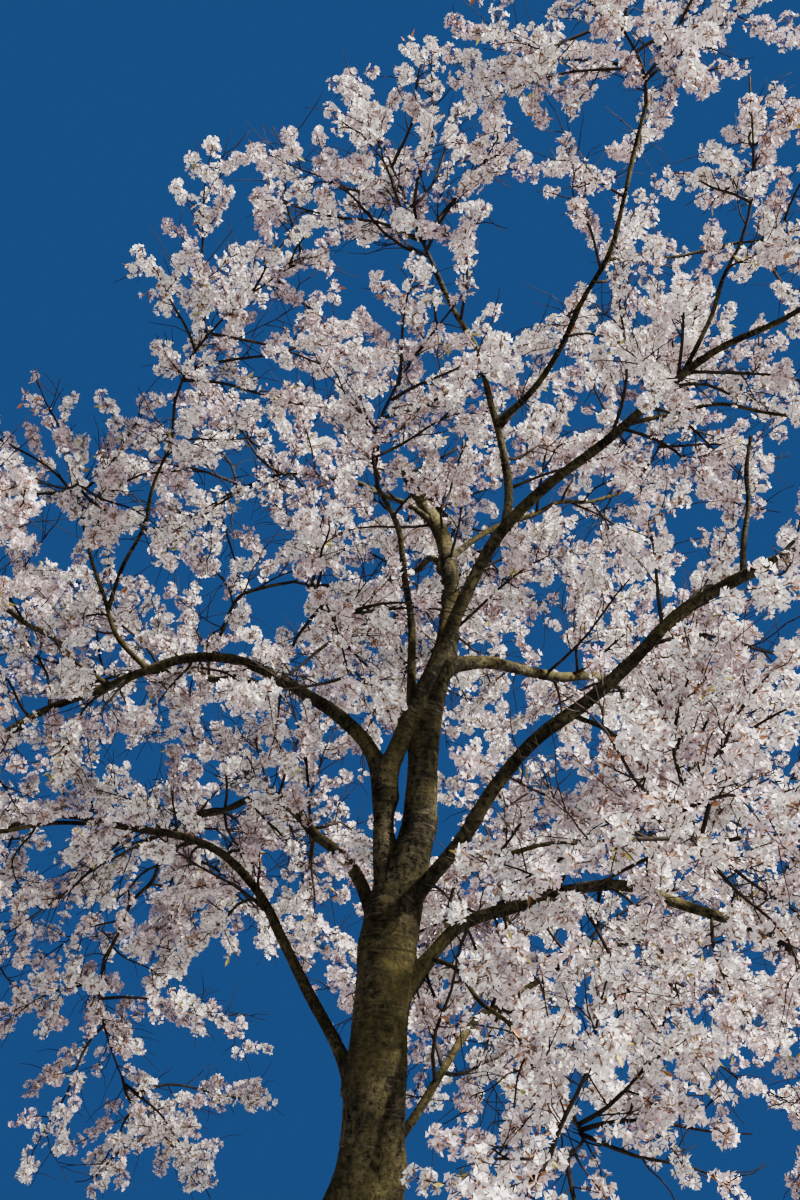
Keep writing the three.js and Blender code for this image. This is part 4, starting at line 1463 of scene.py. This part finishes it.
@functools.lru_cache(maxsize=None)
def bark_material():
    """The bark, with moss and lichen in patches, laid more where it faces up and to the right towards the
    sun: moss and painted light
    """
    material, tree, shader = new_material("cherry_bark")
    tone = colours()
    place = tree.nodes.new("ShaderNodeAttribute")
    place.attribute_name = "bark_place"
    bark = tree.nodes.new("ShaderNodeGroup")
    bark.node_tree = bark_group()
    feed(tree, bark, Place=place.outputs["Vector"], Dark=tone.bark_dark_and_painted_shade, Light=tone.bark_light,
         Band=tone.bark_band)
    where = tree.nodes.new("ShaderNodeTexCoord").outputs["Object"]
    patches = noise_node(tree, where, MOSS_PATCHES)
    specks = noise_node(tree, where, SPECKS)
    normal = tree.nodes.new("ShaderNodeNewGeometry").outputs["Normal"]
    faces = add_node(tree, "ShaderNodeSeparateXYZ", Vector=normal).outputs
    # Painted light: faces turned up and to the right, towards the sun, get more of the lighter olive moss
    # colour; the upward lean is also where moss grows
    moss_and_painted_light_upward = math_node(tree, "MULTIPLY", faces["Z"], MOSS_AND_PAINTED_LIGHT_UPWARD)
    painted_light_rightward = math_node(tree, "MULTIPLY", faces["X"], PAINTED_LIGHT_RIGHTWARD)
    lean = math_node(tree, "ADD", moss_and_painted_light_upward, painted_light_rightward)
    mossy = math_node(tree, "ADD", math_node(tree, "MULTIPLY", specks, MOSS_SPECKS), patches)
    moss_and_painted_light = ramp(tree, math_node(tree, "ADD", mossy, lean), *MOSS_AND_PAINTED_LIGHT_RANGE)
    thin_moss_and_painted_light = math_node(tree, "MULTIPLY", moss_and_painted_light, MOSS_AND_PAINTED_LIGHT_STRENGTH)
    colour = mix_colours(tree, thin_moss_and_painted_light, bark.outputs["Color"], tone.moss_and_painted_light)
    spread = math_node(tree, "MULTIPLY", patches, BARK_ROUGHNESS_SPREAD)
    rough = math_node(tree, "ADD", spread, BARK_ROUGHNESS)
    fine = math_node(tree, "MULTIPLY", specks, BUMP_SPECKS)
    height = math_node(tree, "ADD", bark.outputs["Height"], fine)
    bump = add_node(tree, "ShaderNodeBump", Strength=BUMP_STRENGTH, Distance=BUMP_DEPTH, Height=height)
    feed(tree, shader, Base_Color=colour, Roughness=rough, Normal=bump.outputs["Normal"],
         Specular_IOR_Level=BARK_SHINE)
    return material


@functools.lru_cache(maxsize=None)
def twig_material():
    material, tree, shader = new_material("twig_bark")
    where = tree.nodes.new("ShaderNodeTexCoord").outputs["Object"]
    mottle = noise_node(tree, where, TWIG_MOTTLE)
    colour = mix_colours(tree, mottle, colours().twig_dark, colours().twig_light)
    feed(tree, shader, Base_Color=colour, Roughness=TWIG_ROUGHNESS, Specular_IOR_Level=BARK_SHINE)
    return material


def petal_material(name, colour):
    """A thin petal that light comes through"""
    material, tree, shader = new_material(name)
    feed(tree, shader, Base_Color=colour, Roughness=PETAL_ROUGHNESS, Specular_IOR_Level=PETAL_SHINE)
    through = add_node(tree, "ShaderNodeBsdfTranslucent", Color=colour)
    mix = tree.nodes.new("ShaderNodeMixShader")
    for place, value in enumerate((PETAL_TRANSLUCENCE, shader.outputs[0], through.outputs[0])):
        set_input(tree, mix.inputs[place], value)
    feed(tree, tree.nodes["Material Output"], Surface=mix.outputs[0])
    return material


def plain_material(name, colour, roughness):
    material, tree, shader = new_material(name)
    feed(tree, shader, Base_Color=colour, Roughness=roughness)
    return material


# The stage


def make_floor():
    bm = bmesh.new()
    bmesh.ops.create_grid(bm, x_segments=1, y_segments=1, size=FLOOR_SIZE / 2,
                          matrix=Matrix.Translation((0, 0, FLOOR_DROP)))
    mesh = bpy.data.meshes.new("floor")
    bm.to_mesh(mesh)
    bm.free()
    mesh.materials.append(plain_material("floor", colours().floor, FLOOR_ROUGHNESS))
    floor = add_object("floor", mesh)


def make_light():
    world = bpy.data.worlds.new("backdrop")
    world.use_nodes = True
    around = world.node_tree.nodes["Background"]
    feed(world.node_tree, around, Color=colours().backdrop, Strength=LIGHT_AROUND)
    bpy.context.scene.world = world
    sun = bpy.data.lights.new("sun", "SUN")
    sun.energy = SUN_STRENGTH
    sun.angle = math.radians(SUN_SPREAD)
    sun.color = SUN_COLOUR
    add_object("sun", sun).rotation_euler = [math.radians(angle) for angle in SUN_TURN]


def make_camera():
    camera = bpy.data.cameras.new("camera")
    camera.lens = LENS
    camera.sensor_width = FILM_LONG_SIDE
    camera.clip_end = VIEW_DEPTH
    eye = add_object("camera", camera)
    eye.location = EYE_PLACE
    eye.rotation_euler = (math.radians(STRAIGHT_AHEAD + LOOK_UP), 0, 0)
    bpy.context.scene.camera = eye


# What a user would change


def number(name, description, default, **kind):
    return bpy.props.FloatProperty(name=name, description=description, default=default, **kind)


def tint(name, description, default):
    return bpy.props.FloatVectorProperty(
        name=name, description=description, default=default, subtype="COLOR", size=3, min=0, max=1)


class CherrySizes(bpy.types.PropertyGroup):
    flower_width: number("Flower Width", "Across one open flower", 0.053, unit="LENGTH")
    umbel_spacing: number("Umbel Spacing", "Between umbels along a shoot", 0.086, unit="LENGTH")
    shoot_spacing: number("Shoot Spacing", "Between shoots along a twig", 0.118, unit="LENGTH")
    side_twig_spacing: number("Side Twig Spacing", "Between places for twigs on a bough", 0.07, unit="LENGTH")
    crowding: number("Crowding", "How full the crown is before no more twigs fit", 20)
    extra_twigs: number("Extra Twigs", "Twigs added between a mass's main ones, for each of those", 0.8)
    bud_share: number("Buds", "Share of umbels with unopened buds", 0.1, subtype="FACTOR")
    leaf_share: number("Young Leaves", "Share of umbels with young leaves", 0.07, subtype="FACTOR")
    bark_voxel: number("Bark Mesh Size", "Face size of the trunk's skin", 0.0155, unit="LENGTH")
    bark_relief: number("Bark Relief", "Depth of the bark's plates", 0.006, unit="LENGTH")


class CherryColours(bpy.types.PropertyGroup):
    petal_white: tint("White Petals", "Petals in full light", (0.7, 0.665, 0.65))
    # Partly painted shade: a real trace of pink, but also darker than the white petals to stand for petals in
    # shade
    petal_blush_and_painted_shade: tint("Blush and Painted Shade Petals", "Petals with a trace of pink, darker in part as painted shade", (0.585, 0.51, 0.52))
    # Painted shade: a mauve-grey, darker copy of the petal colour, dealt out by shoot to stand for petals in
    # shade
    petal_painted_shade: tint("Painted Shade Petals", "Mauve-grey petals that stand for petals in shade", (0.465, 0.38, 0.405))
    calyx: tint("Calyx", "Stalks and flower centres", (0.2, 0.1, 0.045))
    bud: tint("Buds", "Unopened buds", (0.72, 0.32, 0.42))
    bronze_leaf: tint("Bronze Leaves", "The youngest leaves", (0.24, 0.1, 0.035))
    olive_leaf: tint("Olive Leaves", "Leaves a little older", (0.3, 0.26, 0.05))
    # Near-black bark colour: the bark's own dark and painted dappled shade
    bark_dark_and_painted_shade: tint("Dark Bark", "The bark's dark blotches, partly painted dappled shade", (0.0035, 0.003, 0.0014))
    bark_light: tint("Light Bark", "The bark between them", (0.082, 0.072, 0.034))
    bark_band: tint("Bark Bands", "Lenticel bands", (0.11, 0.09, 0.056))
    # Moss colour, used for real moss patches and as painted light on the sunlit sides
    moss_and_painted_light: tint("Moss", "Moss and lichen on the bark, also laid as painted light on the sides the sun lights", (0.076, 0.065, 0.021))
    twig_dark: tint("Dark Twigs", "Twig bark", (0.006, 0.0045, 0.0035))
    twig_light: tint("Light Twigs", "Twig bark, lighter", (0.02, 0.015, 0.011))
    floor: tint("Floor", "The pale floor", (0.24, 0.24, 0.24))
    backdrop: tint("Backdrop", "The plain light around", (0.07, 0.27, 0.9))


# Operators


class CHERRY_OT_stage(bpy.types.Operator):
    """Set the floor, the light and the camera at the photo's viewing angle"""
    bl_idname = "cherry.stage"
    bl_label = "Stage"

    def execute(self, context):
        make_floor()
        make_light()
        make_camera()
        return {"FINISHED"}


class CHERRY_OT_trunk(bpy.types.Operator):
    """Make the trunk and main boughs as one skin with the bark's relief"""
    bl_idname = "cherry.trunk"
    bl_label = "Trunk and Main Boughs"

    def execute(self, context):
        make_trunk_and_main_boughs()
        return {"FINISHED"}


class CHERRY_OT_side_boughs(bpy.types.Operator):
    """Make the thinner boughs"""
    bl_idname = "cherry.side_boughs"
    bl_label = "Side Boughs"

    def execute(self, context):
        make_side_boughs()
        return {"FINISHED"}


class CHERRY_OT_twigs(bpy.types.Operator):
    """Grow the twigs, shoots and bare fine twigs on from the boughs"""
    bl_idname = "cherry.twigs"
    bl_label = "Twigs"

    def execute(self, context):
        make_twigs()
        return {"FINISHED"}


class CHERRY_OT_blossom(bpy.types.Operator):
    """Set umbels of five-petalled flowers along the twigs, in three tints dealt out by shoot: white, blush
    darkened in part as painted shade, and a mauve-grey that is painted shade
    """
    bl_idname = "cherry.blossom"
    bl_label = "Blossom"

    def execute(self, context):
        make_blossom()
        return {"FINISHED"}


class CHERRY_OT_buds_and_leaves(bpy.types.Operator):
    """Add the unopened buds and the first young leaves"""
    bl_idname = "cherry.buds_and_leaves"
    bl_label = "Buds and Young Leaves"

    def execute(self, context):
        make_buds_and_leaves()
        return {"FINISHED"}


STEPS = (CHERRY_OT_stage, CHERRY_OT_trunk, CHERRY_OT_side_boughs, CHERRY_OT_twigs,
         CHERRY_OT_blossom, CHERRY_OT_buds_and_leaves)


class CHERRY_PT_panel(bpy.types.Panel):
    """Lists the tree's parts and what can be changed"""
    bl_label = "Cherry Tree"
    bl_idname = "CHERRY_PT_panel"
    bl_space_type = "VIEW_3D"
    bl_region_type = "UI"
    bl_category = "Cherry Tree"

    def draw(self, context):
        for step in STEPS:
            self.layout.operator(step.bl_idname)
        for group in (context.scene.cherry_sizes, context.scene.cherry_colours):
            for name in group.__annotations__:
                self.layout.prop(group, name)


CLASSES = (CherrySizes, CherryColours, *STEPS, CHERRY_PT_panel)


def register():
    for item in CLASSES:
        bpy.utils.register_class(item)
    bpy.types.Scene.cherry_sizes = bpy.props.PointerProperty(type=CherrySizes)
    bpy.types.Scene.cherry_colours = bpy.props.PointerProperty(type=CherryColours)


def unregister():
    del bpy.types.Scene.cherry_colours
    del bpy.types.Scene.cherry_sizes
    for item in reversed(CLASSES):
        bpy.utils.unregister_class(item)


def main():
    register()
    bpy.ops.cherry.stage()
    bpy.ops.cherry.trunk()
    bpy.ops.cherry.side_boughs()
    bpy.ops.cherry.twigs()
    bpy.ops.cherry.blossom()
    bpy.ops.cherry.buds_and_leaves()


if __name__ == "__main__":
    main()
